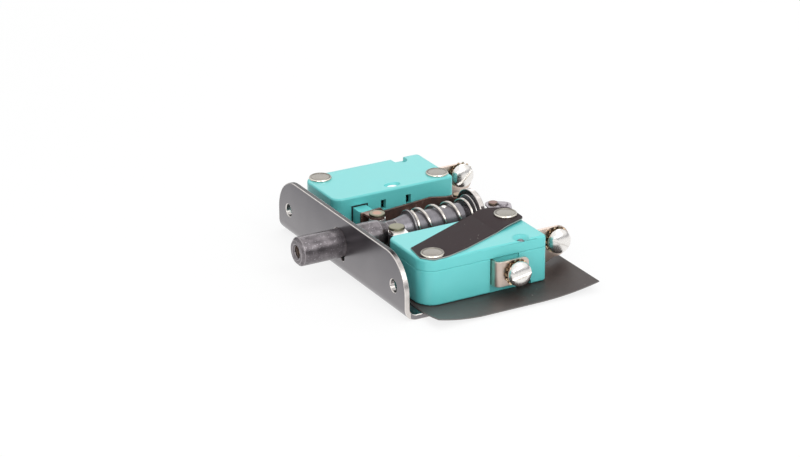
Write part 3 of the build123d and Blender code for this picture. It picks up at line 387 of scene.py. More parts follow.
# Painted glints: tiny pale specks scattered over the skin.
painted_glints = grain_of(tree, place.outputs["Object"], 2300.0, 1.0)
skin_tone = tinted(tree, ranged(tree, clouds, 0.32, 0.68), "#5d585b", "#857f82")
tone = tinted(tree, ranged(tree, painted_glints, 0.63, 0.75), skin_tone, "#aca8ac")
bump = bumped(tree, turning, 0.15, 0.02 * MM, bumped(tree, clouds, 0.2, 0.05 * MM))
surface(tree, shader, tone, 0.8, ranged(tree, clouds, 0.0, 1.0, 0.24, 0.38), bump)

oxide_edge = two_tone("black oxide rubbed thin on an edge", 900.0, 2.0, "#7d787a", "#b4aeb0", 1.0, 0.3)
dressed("plunger", "plunger", "dark_steel", PLUNGER_BREAK, [oxide_steel, oxide_edge], TURNED_ANGLE)

THREAD_SIDES = 40
ROWS_PER_PITCH = 8
THREAD_FADE = 4
THREAD_FLANK = 2.6


def thread_rows(start, length, crest, root, pitch):
    """Rings of points of a screw thread about Z, each point between root and crest by its place in the pitch."""
    count = int(ROWS_PER_PITCH * length / pitch)
    rows = []
    for row in range(count + 1):
        z = start + length * row / count
        fade = min(1.0, THREAD_FADE * row / count, THREAD_FADE * (count - row) / count)
        ring = []
        for side in range(THREAD_SIDES):
            angle = 2 * math.pi * side / THREAD_SIDES
            phase = (z / pitch - side / THREAD_SIDES) % 1.0
            ridge = max(0.0, 1 - abs(phase - 0.5) * THREAD_FLANK)
            radius = root + (crest - root) * ridge * fade
            ring.append((radius * math.cos(angle), radius * math.sin(angle), z))
        rows.append(ring)
    return rows


def skin(rows, inward=False):
    """Mesh through rows of rings."""
    sides = len(rows[0])
    points = [point for ring in rows for point in ring]
    faces = []
    for row in range(len(rows) - 1):
        for side in range(sides):
            a, b = row * sides + side, row * sides + (side + 1) % sides
            face = (a, b, b + sides, a + sides)
            faces.append(face[::-1] if inward else face)
    mesh = bpy.data.meshes.new("skin")
    mesh.from_pydata(points, [], faces)
    mesh.polygons.foreach_set("use_smooth", [True] * len(faces))
    return mesh


# The tapped hole keeps its brown cutting-oil stain.
stained_thread = two_tone("tapped thread stained by oil", 700.0, 3.0, "#6f5f56", "#a89689", 0.6, 0.35)
tapping = skin(thread_rows(0, THREAD_LENGTH, THREAD_CORE, THREAD_OUTSIDE, THREAD_PITCH), inward=True)
tapping.transform(Matrix.Translation(PLUNGER_AXIS + Vector((0, THREAD_MOUTH, 0))) @ Matrix.Rotation(
    math.radians(-90), 4, "X"))
tapping.materials.append(stained_thread)
settle(linked("tapped_thread", tapping), "plunger", "dark_steel")

# Guide sleeve, its clip, the ring behind the tab and the spring's seat: turned and stamped steel, dull grey.
# The cross pin through the sleeve is bright, and shows between two coils.
SMALL_BREAK = 0.08 * MM
FINE_BREAK = 0.06 * MM
CROSS_PIN_BREAK = 0.12 * MM
SEAT_BREAK = 0.14 * MM
FINE_ANGLE = 20.0

dull_steel, tree, shader, place = start_material("plain turned steel, dull")
rings = add(tree, "ShaderNodeMapping", {"Vector": place.outputs["Object"], "Scale": (60.0, 7000.0, 60.0)})
turning = grain_of(tree, rings.outputs[0], 1.0, 2.0)
surface(
    tree, shader, tinted(tree, turning, "#6c696e", "#918e93"), 0.7, 0.4, bumped(tree, turning, 0.25, 0.03 * MM))

bright_steel = two_tone("bright ground steel", 1500.0, 2.0, "#c4c0bc", "#e9e6e2", 1.0, 0.18)
dressed("guide_sleeve", "plunger", "grey_steel", SMALL_BREAK, [dull_steel, bright_steel], TURNED_ANGLE)
dressed("spring_clip", "plunger", "grey_steel", SMALL_BREAK, [dull_steel, bright_steel])
dressed("retaining_ring", "plunger", "dark_steel", FINE_BREAK, [oxide_steel, oxide_edge])
dressed("cross_pin", "plunger", "bright_steel", CROSS_PIN_BREAK, [bright_steel])
dressed("spring_seat", "frame", "grey_steel", SEAT_BREAK, [dull_steel, bright_steel], FINE_ANGLE)

# Return spring: cold-drawn music wire, coiled with closed ends and bright from the die.
# It sits between the clip and a washer on the tab.
WIRE_RADIUS = 0.45 * MM
COIL_RADIUS = 4.5 * MM
SPRING_FRONT = 21.7 * MM
SEAT_FACE = 39.88 * MM
SPRING_GAP = 0.02 * MM
ACTIVE_TURNS = 3.5
CLOSED_TURNS = 0.5
TOTAL_TURNS = ACTIVE_TURNS + 2 * CLOSED_TURNS
CLOSED_PITCH = 2.2 * WIRE_RADIUS
POINTS_PER_TURN = 48
SMOOTHING = (-0.12, -0.06, 0.0, 0.06, 0.12)
WIRE_SIDES = 20


def wire_place(turned):
    """Distance of the wire's middle along Y after so many turns."""
    first = SPRING_FRONT + WIRE_RADIUS
    last = SEAT_FACE - SPRING_GAP - WIRE_RADIUS
    closed = CLOSED_PITCH * CLOSED_TURNS
    pitch = (last - first - 2 * closed) / ACTIVE_TURNS
    if turned < CLOSED_TURNS:
        return first + closed * turned / CLOSED_TURNS
    if turned > TOTAL_TURNS - CLOSED_TURNS:
        return last - closed * (TOTAL_TURNS - turned) / CLOSED_TURNS
    return first + closed + pitch * (turned - CLOSED_TURNS)


drawn_wire = two_tone("bright cold-drawn music wire", 2200.0, 2.0, "#b9b2ab", "#e6e1db", 1.0, 0.2)

route = bpy.data.curves.new("coil", "CURVE")
route.dimensions = "3D"
line = route.splines.new("POLY")
samples = int(TOTAL_TURNS * POINTS_PER_TURN)
line.points.add(samples)
for index in range(samples + 1):
    turned = index / POINTS_PER_TURN
    along = sum(wire_place(min(max(turned + shift, 0), TOTAL_TURNS)) for shift in SMOOTHING) / len(SMOOTHING)
    angle = 2 * math.pi * turned
    line.points[index].co = (
        COIL_RADIUS * math.sin(angle), along, PLUNGER_AXIS.z + COIL_RADIUS * math.cos(angle), 1)
coil_route = linked("coil_route", route)


def start_group(name, result, *inputs):
    """New Geometry Nodes tree with its named inputs and one result, and the node that hands out its inputs."""
    group = bpy.data.node_groups.new(name, "GeometryNodeTree")
    for socket_name, kind in inputs:
        group.interface.new_socket(socket_name, in_out="INPUT", socket_type="NodeSocket" + kind)
    group.interface.new_socket(result, in_out="OUTPUT", socket_type="NodeSocketGeometry")
    return group, add(group, "NodeGroupInput")


def end_group(group, geometry, finish):
    """Realize the tree's geometry, give it its material and send it out."""
    real = add(group, "GeometryNodeRealizeInstances", {"Geometry": geometry})
    finished = add(group, "GeometryNodeSetMaterial", {"Geometry": real.outputs[0], "Material": finish})
    add(group, "NodeGroupOutput", {0: finished.outputs[0]})


wire_tree, given = start_group(
    "round wire along a route", "Wire",
    ("Route", "Geometry"), ("Wire radius", "Float"), ("Sides", "Int"), ("Finish", "Material"))
ring = add(wire_tree, "GeometryNodeCurvePrimitiveCircle", {
    "Resolution": given.outputs["Sides"], "Radius": given.outputs["Wire radius"]})
swept = add(wire_tree, "GeometryNodeCurveToMesh", {
    "Curve": given.outputs["Route"], "Profile Curve": ring.outputs["Curve"], "Fill Caps": True})
smoothed = add(wire_tree, "GeometryNodeSetShadeSmooth", {"Geometry": swept.outputs[0]})
end_group(wire_tree, smoothed.outputs[0], given.outputs["Finish"])


def grown(piece, group, **values):
    """Mesh that a Geometry Nodes tree makes of a piece, with the tree's named inputs set."""
    modifier = piece.modifiers.new("grow", "NODES")
    modifier.node_group = group
    for item in group.interface.items_tree:
        key = item.name.lower().replace(" ", "_")
        if item.in_out == "INPUT" and key in values:
            modifier[item.identifier] = values[key]
    mesh = plain_mesh_of(piece)
    piece.modifiers.clear()
    return mesh


coil_mesh = grown(coil_route, wire_tree, wire_radius=WIRE_RADIUS, sides=WIRE_SIDES, finish=drawn_wire)
bpy.data.objects.remove(coil_route)
return_spring = linked("return_spring_wire", coil_mesh)
settle(return_spring, "frame", "spring_wire", "return_spring")
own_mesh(return_spring)

# Switch housings and buttons: glass-filled nylon moulded in turquoise, with a fine spark texture.
# Each housing is a tub and a cover, and the line where they meet catches the light.
HOUSING_EDGE = 0.05 * MM
BUTTON_EDGE = 0.12 * MM
MOULDED_ANGLE = 40.0

turquoise, tree, shader, place = start_material("turquoise moulded nylon")
flow = grain_of(tree, place.outputs["Object"], 120.0, 2.0)
spark = grain_of(tree, place.outputs["Object"], 3500.0, 3.0)
surface(
    tree, shader, tinted(tree, flow, "#5bc2c1", "#67cbca"), 0.0, ranged(tree, flow, 0.0, 1.0, 0.34, 0.46),
    bumped(tree, spark, 0.12, 0.03 * MM))
shader.inputs["IOR"].default_value = 1.53
shader.inputs["Coat Weight"].default_value = 0.3
shader.inputs["Coat Roughness"].default_value = 0.3
for side in ("left", "right"):
    dressed(side + "_switch_base", "frame", "teal_plastic", HOUSING_EDGE, [turquoise], MOULDED_ANGLE)
    dressed(side + "_switch_cover", "frame", "teal_plastic", HOUSING_EDGE, [turquoise], MOULDED_ANGLE)
    dressed(side + "_button", side + "_button", "teal_plastic", BUTTON_EDGE, [turquoise], MOULDED_ANGLE)

# Painted shade round the buttons: a thin black frame set into each housing's window round its button stands
# for the shadow in the gap.
GAP_SHADE_WALL = 14.35 * MM
GAP_SHADE_LIP = 0.12 * MM
GAP_SHADE_WIDTH = 0.4 * MM
GAP_SHADE_CLEARANCE = 0.05 * MM
BUTTON_SHOULDER = 0.8 * MM

# Painted shade: a black matt frame where there is only the gap's shadow.
gap_shade_black = two_tone("black painted gap shade", 1200.0, 2.0, "#0f1212", "#1f2424", 0.0, 0.6)
for side, sign in (("left", -1), ("right", 1)):
    button_low, button_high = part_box(side + "_button")
    work = bmesh.new()
    frames = []
    for spread in (GAP_SHADE_CLEARANCE - BUTTON_SHOULDER, GAP_SHADE_CLEARANCE + GAP_SHADE_WIDTH - BUTTON_SHOULDER):
        corners = (
            (button_low[1] - spread, button_low[2] - spread), (button_high[1] + spread, button_low[2] - spread),
            (button_high[1] + spread, button_high[2] + spread), (button_low[1] - spread, button_high[2] + spread))
        frames.append([[work.verts.new((sign * x, y, z)) for y, z in corners]
                       for x in (GAP_SHADE_WALL, GAP_SHADE_WALL - GAP_SHADE_LIP)])
    (inner_back, inner_front), (outer_back, outer_front) = frames
    for here in range(4):
        after = (here + 1) % 4
        for ring, other in ((inner_front, outer_front), (outer_front, outer_back), (outer_back, inner_back),
                            (inner_back, inner_front)):
            work.faces.new((ring[here], ring[after], other[after], other[here]))
    bmesh.ops.recalc_face_normals(work, faces=work.faces)
    gap_shade_mesh = mesh_of(work, "lip")
    gap_shade_mesh.materials.append(gap_shade_black)
    settle(linked(side + "_button_seal", gap_shade_mesh), "frame", "fish_paper")

# Rivets: two nickel-plated tubular rivets hold each switch to the base plate, with low oval heads on top.
# The heads have a rolled rim, and the shanks are flush under the base plate.
RIVET_PROFILE = [
    (0.0, 0.5), (1.3, 0.49), (1.9, 0.46), (2.3, 0.41), (2.5, 0.43), (2.65, 0.52), (2.8, 0.58), (2.93, 0.57),
    (3.05, 0.48), (3.14, 0.34), (3.19, 0.2), (3.2, 0.08), (3.12, 0.0), (1.5, 0.0), (1.5, -0.8), (0.0, -0.8)]
SHANK_PROFILE = [(0.0, 14.85), (1.5, 14.85), (1.5, 0.06), (1.44, 0.0), (0.0, 0.0)]
RIVET_SEATS = {
    "left": [(-31.3, 10.8, 6.91), (-18.4, 40.8, 6.91)],
    "right": [(31.3, 10.8, 7.33), (18.4, 40.8, 7.70)]}
UPRIGHT = (0, 0, 0)
ROUND_STEPS = 72
SHANK_STEPS = 32
SMOOTH_ANGLE = math.radians(40)


def lathe(profile, steps=ROUND_STEPS):
    """Mesh turned about Z from (radius, height) points in millimetres, from the top middle outwards and down."""
    work = bmesh.new()
    rows = []
    for radius, height_mm in profile:
        if radius == 0:
            rows.append([work.verts.new((0, 0, height_mm * MM))])
            continue
        rows.append([work.verts.new((
            radius * MM * math.cos(2 * math.pi * step / steps), radius * MM * math.sin(2 * math.pi * step / steps),
            height_mm * MM)) for step in range(steps)])
    for upper, lower in zip(rows, rows[1:]):
        for step in range(steps):
            following = (step + 1) % steps
            if len(upper) == 1:
                work.faces.new((upper[0], lower[step], lower[following]))
            elif len(lower) == 1:
                work.faces.new((upper[step], lower[0], upper[following]))
            else:
                work.faces.new((upper[step], lower[step], lower[following], upper[following]))
    if len(rows[-1]) > 1:
        work.faces.new(list(reversed(rows[-1])))
    for face in work.faces:
        face.smooth = True
    mesh = mesh_of(work, "lathe")
    mesh.set_sharp_from_angle(angle=SMOOTH_ANGLE)
    return mesh


planted_tree, given = start_group(
    "one fastener on each point", "Fasteners",
    ("Points", "Geometry"), ("Fastener", "Object"), ("Finish", "Material"))
source = add(planted_tree, "GeometryNodeObjectInfo", {"Object": given.outputs["Fastener"]})
lean = add(planted_tree, "GeometryNodeInputNamedAttribute", {"Name": "lean"}, data_type="FLOAT_VECTOR")
leaning = add(planted_tree, "FunctionNodeEulerToRotation", {0: lean.outputs[0]})
planted = add(planted_tree, "GeometryNodeInstanceOnPoints", {
    "Points": given.outputs["Points"], "Instance": source.outputs["Geometry"], "Rotation": leaning.outputs[0]})
end_group(planted_tree, planted.outputs[0], given.outputs["Finish"])


def planted_piece(name, mesh, places, finish, body, material_slot, *stands_for):
    """One piece of like fasteners, one at each (point, Euler turn), grown by the tree above."""
    pattern = linked(name + "_pattern", mesh)
    points = bpy.data.meshes.new(name)
    points.from_pydata([place_of for place_of, euler in places], [], [])
    lean_of = points.attributes.new("lean", "FLOAT_VECTOR", "POINT")
    for index, (place_of, euler) in enumerate(places):
        lean_of.data[index].vector = euler
    piece = linked(name, points)
    piece.data = grown(piece, planted_tree, fastener=pattern, finish=finish)
    bpy.data.objects.remove(pattern)
    settle(piece, body, material_slot, *stands_for)


# Dull nickel plate, a little yellow, with a soft swirl from barrel plating; a painted highlight brightens the
# rolled rim, where the head turns away from straight up.
nickel_rivet, tree, shader, place = start_material("barrel-plated nickel")
swirl = grain_of(tree, place.outputs["Object"], 260.0, 2.0, distortion=1.0)
facing = add(tree, "ShaderNodeSeparateXYZ", {0: place.outputs["Normal"]})
# Painted highlight: faces tilted away from straight up turn near white.
rim_painted_highlight = ranged(tree, facing.outputs["Z"], 0.93, 0.75)
tone = tinted(tree, rim_painted_highlight, tinted(tree, swirl, "#75716a", "#8d8880"), "#efe9dd")
surface(tree, shader, tone, 1.0, ranged(tree, swirl, 0.0, 1.0, 0.2, 0.3))
for side, seats in RIVET_SEATS.items():
    heads = [(Vector(seat) * MM, UPRIGHT) for seat in seats]
    planted_piece(
        side + "_rivet_heads", lathe(RIVET_PROFILE), heads, nickel_rivet, "frame", "nickel_plate",
        side + "_switch_rivets")
    feet = [(Vector((x * MM, y * MM, TABLE_HEIGHT)), UPRIGHT) for x, y, z in seats]
    shank = lathe(SHANK_PROFILE, SHANK_STEPS)
    planted_piece(side + "_rivet_shanks", shank, feet, nickel_rivet, "frame", "nickel_plate")

# Plug and seal: a plain steel plug closes the right switch's gauge hole, and a drop of white sealing lacquer
# lies in the oval dimple of the left switch.
PLUG_PROFILE = [(0.0, 0.62), (0.4, 0.58), (0.75, 0.44), (0.97, 0.2), (1.06, 0.0), (1.06, -3.0), (0.0, -3.0)]
PLUG_PLACE = Vector((32.6, 36.9, 5.75)) * MM
SEAL_PROFILE = [(0.0, 0.3), (0.45, 0.27), (0.8, 0.18), (1.0, 0.06), (1.04, 0.0), (0.0, 0.0)]
SEAL_PLACE = Vector((-17.2, 25.7, 6.3)) * MM
SEAL_STRETCH = 1.5

sealing_lacquer = two_tone("white sealing lacquer", 900.0, 2.0, "#e9eeee", "#ffffff", 0.0, 0.2)
planted_piece(
    "gauge_hole_plug", lathe(PLUG_PROFILE), [(PLUG_PLACE, UPRIGHT)], dull_steel, "frame", "bright_steel")
seal_mesh = lathe(SEAL_PROFILE)
seal_mesh.transform(Matrix.Diagonal((1, SEAL_STRETCH, 1, 1)))
planted_piece("sealing_drop", seal_mesh, [(SEAL_PLACE, UPRIGHT)], sealing_lacquer, "frame", "teal_plastic")

# Terminals: phosphor bronze strip, tinned, which looks pinkish grey with a warm cast in the folds.
# Each comes out of a slot in the housing, and its edges are sheared.
tinned_bronze = two_tone("tinned phosphor bronze strip", 300.0, 4.0, "#c0a99b", "#e0d4ca", 1.0, 0.24, 0.4)
for side in ("left", "right"):
    dressed(side + "_side_terminal", "frame", "terminal_bronze", SMALL_BREAK, [tinned_bronze])
    dressed(side + "_end_terminal", "frame", "terminal_bronze", SMALL_BREAK, [tinned_bronze])

# Terminal screws: M3.5 pan heads of nickel-plated brass, polished, with a sawn slot.
# The thread behind each plate is cut, and shows from the rear and the side.
HEAD_PROFILE = [
    (0.0, 2.5), (0.8, 2.47), (1.5, 2.37), (2.1, 2.2), (2.6, 1.95), (2.97, 1.65), (3.22, 1.3), (3.36, 0.95),
    (3.4, 0.6), (3.4, 0.12), (3.28, 0.0), (1.74, 0.0)]
SLOT_WIDTH = 0.8 * MM
SLOT_FLOOR = 1.6 * MM
SAW_NEAR = 0.001 * MM
SHANK_CREST = 1.74 * MM
SHANK_ROOT = 1.45 * MM
SHANK_LENGTH = 3.8 * MM
SCREW_PITCH = 0.6 * MM
SCREW_ANGLE = math.radians(35)

polished_nickel = two_tone("polished nickel-plated brass", 800.0, 3.0, "#e6e2dd", "#fbf9f6", 1.0, 0.2, 0.34)


def round_z(vertex):
    """Angle of a vertex about Z."""
    return math.atan2(vertex.co.y, vertex.co.x)


def screw_mesh():
    """Slotted pan-head screw on Z, its head's seat at the origin."""
    work = bmesh.new()
    work.from_mesh(lathe(HEAD_PROFILE))
    half = SLOT_WIDTH / 2
    for point, normal in (((0, half, 0), (0, 1, 0)), ((0, -half, 0), (0, 1, 0)), ((0, 0, SLOT_FLOOR), (0, 0, 1))):
        whole_head = work.verts[:] + work.edges[:] + work.faces[:]
        bmesh.ops.bisect_plane(work, geom=whole_head, dist=SAW_NEAR, plane_co=point, plane_no=normal)
    middles = [(face, face.calc_center_median()) for face in work.faces]
    bmesh.ops.delete(work, context="FACES", geom=[
        face for face, middle in middles if abs(middle.y) < half and middle.z > SLOT_FLOOR])
    sides = [v for v in work.verts if abs(abs(v.co.y) - half) < SAW_NEAR and v.co.z > SLOT_FLOOR - SAW_NEAR]
    sides.sort(key=lambda v: v.co.x)
    floor = [v for v in work.verts if abs(v.co.z - SLOT_FLOOR) < SAW_NEAR and abs(v.co.y) < half + SAW_NEAR]
    work.faces.new([v for v in reversed(sides) if v.co.y > 0])
    work.faces.new([v for v in sides if v.co.y < 0])
    work.faces.new(sorted(floor, key=round_z))
    rows = thread_rows(-SHANK_LENGTH, SHANK_LENGTH, SHANK_CREST, SHANK_ROOT, SCREW_PITCH)
    work.from_mesh(skin(rows))
    work.verts.ensure_lookup_table()
    tip = [v for v in work.verts if abs(v.co.z + SHANK_LENGTH) < SAW_NEAR]
    work.faces.new(sorted(tip, key=round_z, reverse=True))
    for face in work.faces:
        face.smooth = True
    mesh = mesh_of(work, "screw")
    mesh.set_sharp_from_angle(angle=SCREW_ANGLE)
    return mesh


WASHER_THICKNESS = 1.0
PLATE_HALF = 0.4
SEAT_GAP = 0.02
SIDE_PLATE_X = 37.0
END_PLATE_X = 25.6
SCREW_PLACES = {
    "left": [(-1, -SIDE_PLATE_X, 32.8, 0.99, 15.0), (1, -END_PLATE_X, 52.2, 2.14, 40.0)],
    "right": [(1, SIDE_PLATE_X, 32.8, -0.26, 10.0), (1, END_PLATE_X, 52.2, 0.74, -27.0)]}


def standing(sign, slot_degrees):
    """Euler turn that stands a part built on Z along +X or -X, with its own X turned about that axis."""
    stand = Matrix.Rotation(math.radians(90 * sign), 3, "Y")
    spin = Matrix.Rotation(math.radians(slot_degrees) * sign, 3, "X")
    level_slot = Matrix.Rotation(math.radians(90), 3, "Z")
    return (spin @ stand @ level_slot).to_euler()


for side, places in SCREW_PLACES.items():
    seats = []
    for sign, x, y, z, slot_degrees in places:
        seat = x + sign * (PLATE_HALF + WASHER_THICKNESS + 2 * SEAT_GAP)
        seats.append((Vector((seat, y, z)) * MM, standing(sign, slot_degrees)))
    planted_piece(
        side + "_slotted_screws", screw_mesh(), seats, polished_nickel, "frame", "nickel_plate",
        side + "_terminal_screws")

# Lock washers: stamped spring brass rings, browned, with twisted teeth all round that bite the head.
TOOTH_COUNT = 14
RING_OUTSIDE = 3.0 * MM
RING_INSIDE = 1.85 * MM
RING_THICKNESS = 0.45 * MM
TOOTH_REACH = 0.9 * MM
TOOTH_WIDTH = 0.85 * MM
TOOTH_TWIST = math.radians(42)

browned_brass = two_tone("browned spring brass", 900.0, 3.0, "#7d6347", "#cbb79a", 1.0, 0.28)

washer_tree, given = start_group(
    "ring with twisted teeth", "Washer",
    ("Ring radius", "Float"), ("Ring width", "Float"), ("Thickness", "Float"), ("Teeth", "Int"),
    ("Tooth radius", "Float"), ("Tooth length", "Float"), ("Tooth width", "Float"), ("Twist", "Float"),
    ("Finish", "Material"))
middle_line = add(washer_tree, "GeometryNodeCurvePrimitiveCircle", {
    "Resolution": ROUND_STEPS, "Radius": given.outputs["Ring radius"]})
section = add(washer_tree, "GeometryNodeCurvePrimitiveQuadrilateral", {
    "Width": given.outputs["Thickness"], "Height": given.outputs["Ring width"]})
band = add(washer_tree, "GeometryNodeCurveToMesh", {
    "Curve": middle_line.outputs["Curve"], "Profile Curve": section.outputs[0]})
tooth_line = add(washer_tree, "GeometryNodeCurvePrimitiveCircle", {
    "Resolution": given.outputs["Teeth"], "Radius": given.outputs["Tooth radius"]})
tooth_points = add(washer_tree, "GeometryNodeCurveToPoints", {
    "Curve": tooth_line.outputs["Curve"]}, mode="EVALUATED")
tooth_size = add(washer_tree, "ShaderNodeCombineXYZ", {
    "X": given.outputs["Tooth length"], "Y": given.outputs["Thickness"], "Z": given.outputs["Tooth width"]})
tooth = add(washer_tree, "GeometryNodeMeshCube", {"Size": tooth_size.outputs[0]})
twist_turn = add(washer_tree, "ShaderNodeCombineXYZ", {"X": given.outputs["Twist"]})
tooth_turned = add(washer_tree, "GeometryNodeTransform", {
    "Geometry": tooth.outputs["Mesh"], "Rotation": twist_turn.outputs[0]})
toothed = add(washer_tree, "GeometryNodeInstanceOnPoints", {
    "Points": tooth_points.outputs["Points"], "Instance": tooth_turned.outputs[0],
    "Rotation": tooth_points.outputs["Rotation"]})
joined = add(washer_tree, "GeometryNodeJoinGeometry")
washer_tree.links.new(toothed.outputs[0], joined.inputs[0])
washer_tree.links.new(band.outputs[0], joined.inputs[0])
end_group(washer_tree, joined.outputs[0], given.outputs["Finish"])

blank = linked("washer_blank", bpy.data.meshes.new("washer_blank"))
washer_mesh = grown(
    blank, washer_tree,
    ring_radius=(RING_OUTSIDE + RING_INSIDE) / 2, ring_width=RING_OUTSIDE - RING_INSIDE, thickness=RING_THICKNESS,
    teeth=TOOTH_COUNT, tooth_radius=RING_OUTSIDE + TOOTH_REACH / 4, tooth_length=TOOTH_REACH,
    tooth_width=TOOTH_WIDTH, twist=TOOTH_TWIST, finish=browned_brass)
bpy.data.objects.remove(blank)
for side, places in SCREW_PLACES.items():
    seats = []
    for sign, x, y, z, slot_degrees in places:
        middle = x + sign * (PLATE_HALF + SEAT_GAP + WASHER_THICKNESS / 2)
        seats.append((Vector((middle, y, z)) * MM, standing(sign, 0)))
    planted_piece(
        side + "_toothed_washers", washer_mesh.copy(), seats, browned_brass, "frame", "brass",
        side + "_lock_washers")

# Levers: 0.7 mm mild steel, folded to two ears in front and rolled round the hinge pin at the rear.
# The steel is heat-burnished to brown and copper, and the right lever's upward faces get a painted highlight.
LEVER_BREAK = 0.1 * MM
THIN_BREAK = 0.05 * MM

burnished, tree, shader, place = start_material("heat-burnished mild steel")
temper = grain_of(tree, place.outputs["Object"], 220.0, 4.0)
temper_tone = add(tree, "ShaderNodeValToRGB", {0: temper})
temper_tone.color_ramp.elements[0].position = 0.35
temper_tone.color_ramp.elements[0].color = colour("#5b4f4b")
temper_tone.color_ramp.elements[1].position = 0.72
temper_tone.color_ramp.elements[1].color = colour("#a08d84")
middle_tone = temper_tone.color_ramp.elements.new(0.56)
middle_tone.color = colour("#7c5d53")
facing = add(tree, "ShaderNodeSeparateXYZ", {0: place.outputs["Normal"]})
where = add(tree, "ShaderNodeSeparateXYZ", {0: place.outputs["Object"]})
# Painted highlight: on the right lever, faces that look up turn near white.
on_right = maths(tree, "GREATER_THAN", where.outputs["X"], 0.0)
rubbed = maths(tree, "MULTIPLY", ranged(tree, facing.outputs["Z"], 0.5, 0.9), on_right)
tone = tinted(tree, rubbed, temper_tone.outputs[0], "#e6e1dd")
surface(tree, shader, tone, 0.55, ranged(tree, temper, 0.0, 1.0, 0.18, 0.34))
for side in ("left", "right"):
    dressed(side + "_lever", side + "_lever", "dark_steel", LEVER_BREAK, [burnished])
    dressed(side + "_roller", side + "_roller", "grey_steel", SMALL_BREAK, [oxide_steel, dull_steel], FINE_ANGLE)
    dressed(side + "_roller_washers", side + "_lever", "bright_steel", THIN_BREAK, [bright_steel])

# Pins: headed steel pins, zinc plated and passivated, olive round the rim and copper where the punch struck.
# The right hinge pin's head above the link plate is nearly all copper.
PIN_PLACES = {
    "left_roller_pin": ("left_lever", -5.43, 14.6, "#a8836f"),
    "right_roller_pin": ("right_lever", 5.43, 14.6, "#7e7b68"),
    "left_hinge_pin": ("frame", -9.5, 42.3, "#8d7a66"),
    "right_hinge_pin": ("frame", 9.5, 42.3, "#775a52")}
STRUCK_RADIUS = 1.5 * MM
STRUCK_FADE = 0.5 * MM
STRUCK_WANDER = 0.9 * MM
for node, (body, x, y, struck) in PIN_PLACES.items():
    passivated, tree, shader, place = start_material("passivated zinc on " + node.replace("_", " "))
    centred = add(tree, "ShaderNodeMapping", {
        "Vector": place.outputs["Object"], "Location": (-x * MM, -y * MM, 0), "Scale": (1, 1, 0)})
    off_axis = add(tree, "ShaderNodeVectorMath", {0: centred.outputs[0]}, operation="LENGTH")
    grain = grain_of(tree, place.outputs["Object"], 900.0, 3.0)
    wander = maths(tree, "MULTIPLY_ADD", grain, STRUCK_WANDER, off_axis.outputs["Value"])
    zone = ranged(tree, wander, STRUCK_RADIUS, STRUCK_RADIUS + STRUCK_FADE)
    surface(tree, shader, tinted(tree, zone, struck, "#7d7b68"), 1.0, 0.32)
    dressed(node, body, "pin_steel", FINE_BREAK, [passivated], FINE_ANGLE)

# Link plate and spacer over the right hinge pin: thin blued strip, and a short tube of plain steel.
blued = two_tone("blued spring steel strip", 350.0, 3.0, "#746f74", "#a9a2a6", 1.0, 0.3)
dressed("hinge_stay", "frame", "blued_steel", SMALL_BREAK, [blued])
dressed("hinge_spacer", "frame", "grey_steel", FINE_BREAK, [dull_steel], FINE_ANGLE)

# Insulating sheet and strap: grey-brown vulcanised fibre, calendered, with a fibrous tooth.
# The sheet lies under both switches; its free edges hang and curl up at the front corners and the rear, and
# painted sheen makes it paler towards its front outer corners. The strap is darker, and steps up over the link
# plate. The cut edges of both are painted pale as a painted reflection.
SHEET_FRONT = 5.4
SHEET_REAR = 54.5
SHEET_HALF = 44.0
SHEET_THICKNESS = 0.3
SHEET_FLAT = 1.52
BASE_HALF = 36.0
BASE_END = 44.6
EDGE_HANG = 0.8
EDGE_CURL = 1.1
OVERHANG_POWER = 1.4
CURL_FRONT = 20.0
CURL_REAR = 36.0
SHEET_STEP = 0.8
SHEET_HOLES = [(31.3, 10.8, 1.52), (18.4, 40.8, 1.52), (9.5, 42.3, 1.02)]
TAB_SLOT = (7.5, 37.6, 42.3)
PUNCH_LENGTH = 2 * MM
FREE_EDGE_FROM = 26.0 * MM
FREE_EDGE_TO = 46.0 * MM
FREE_EDGE_SKEW = -0.35


def sheet_height(x, y):
    """Height in millimetres of the sheet's underside above the base plate's, at a place on the sheet."""
    rise = max(0.0, (y - BASE_END) / (SHEET_REAR - BASE_END)) ** 2
    middle_height = SHEET_FLAT + EDGE_CURL * rise
    front_curl = max(0.0, (CURL_FRONT - y) / (CURL_FRONT - SHEET_FRONT)) ** 2
    rear_curl = max(0.0, (y - CURL_REAR) / (SHEET_REAR - CURL_REAR)) ** 2
    edge_height = SHEET_FLAT - EDGE_HANG + (EDGE_CURL + EDGE_HANG) * (front_curl + rear_curl)
    overhang = max(0.0, (abs(x) - BASE_HALF) / (SHEET_HALF - BASE_HALF)) ** OVERHANG_POWER
    return middle_height + (edge_height - middle_height) * overhang


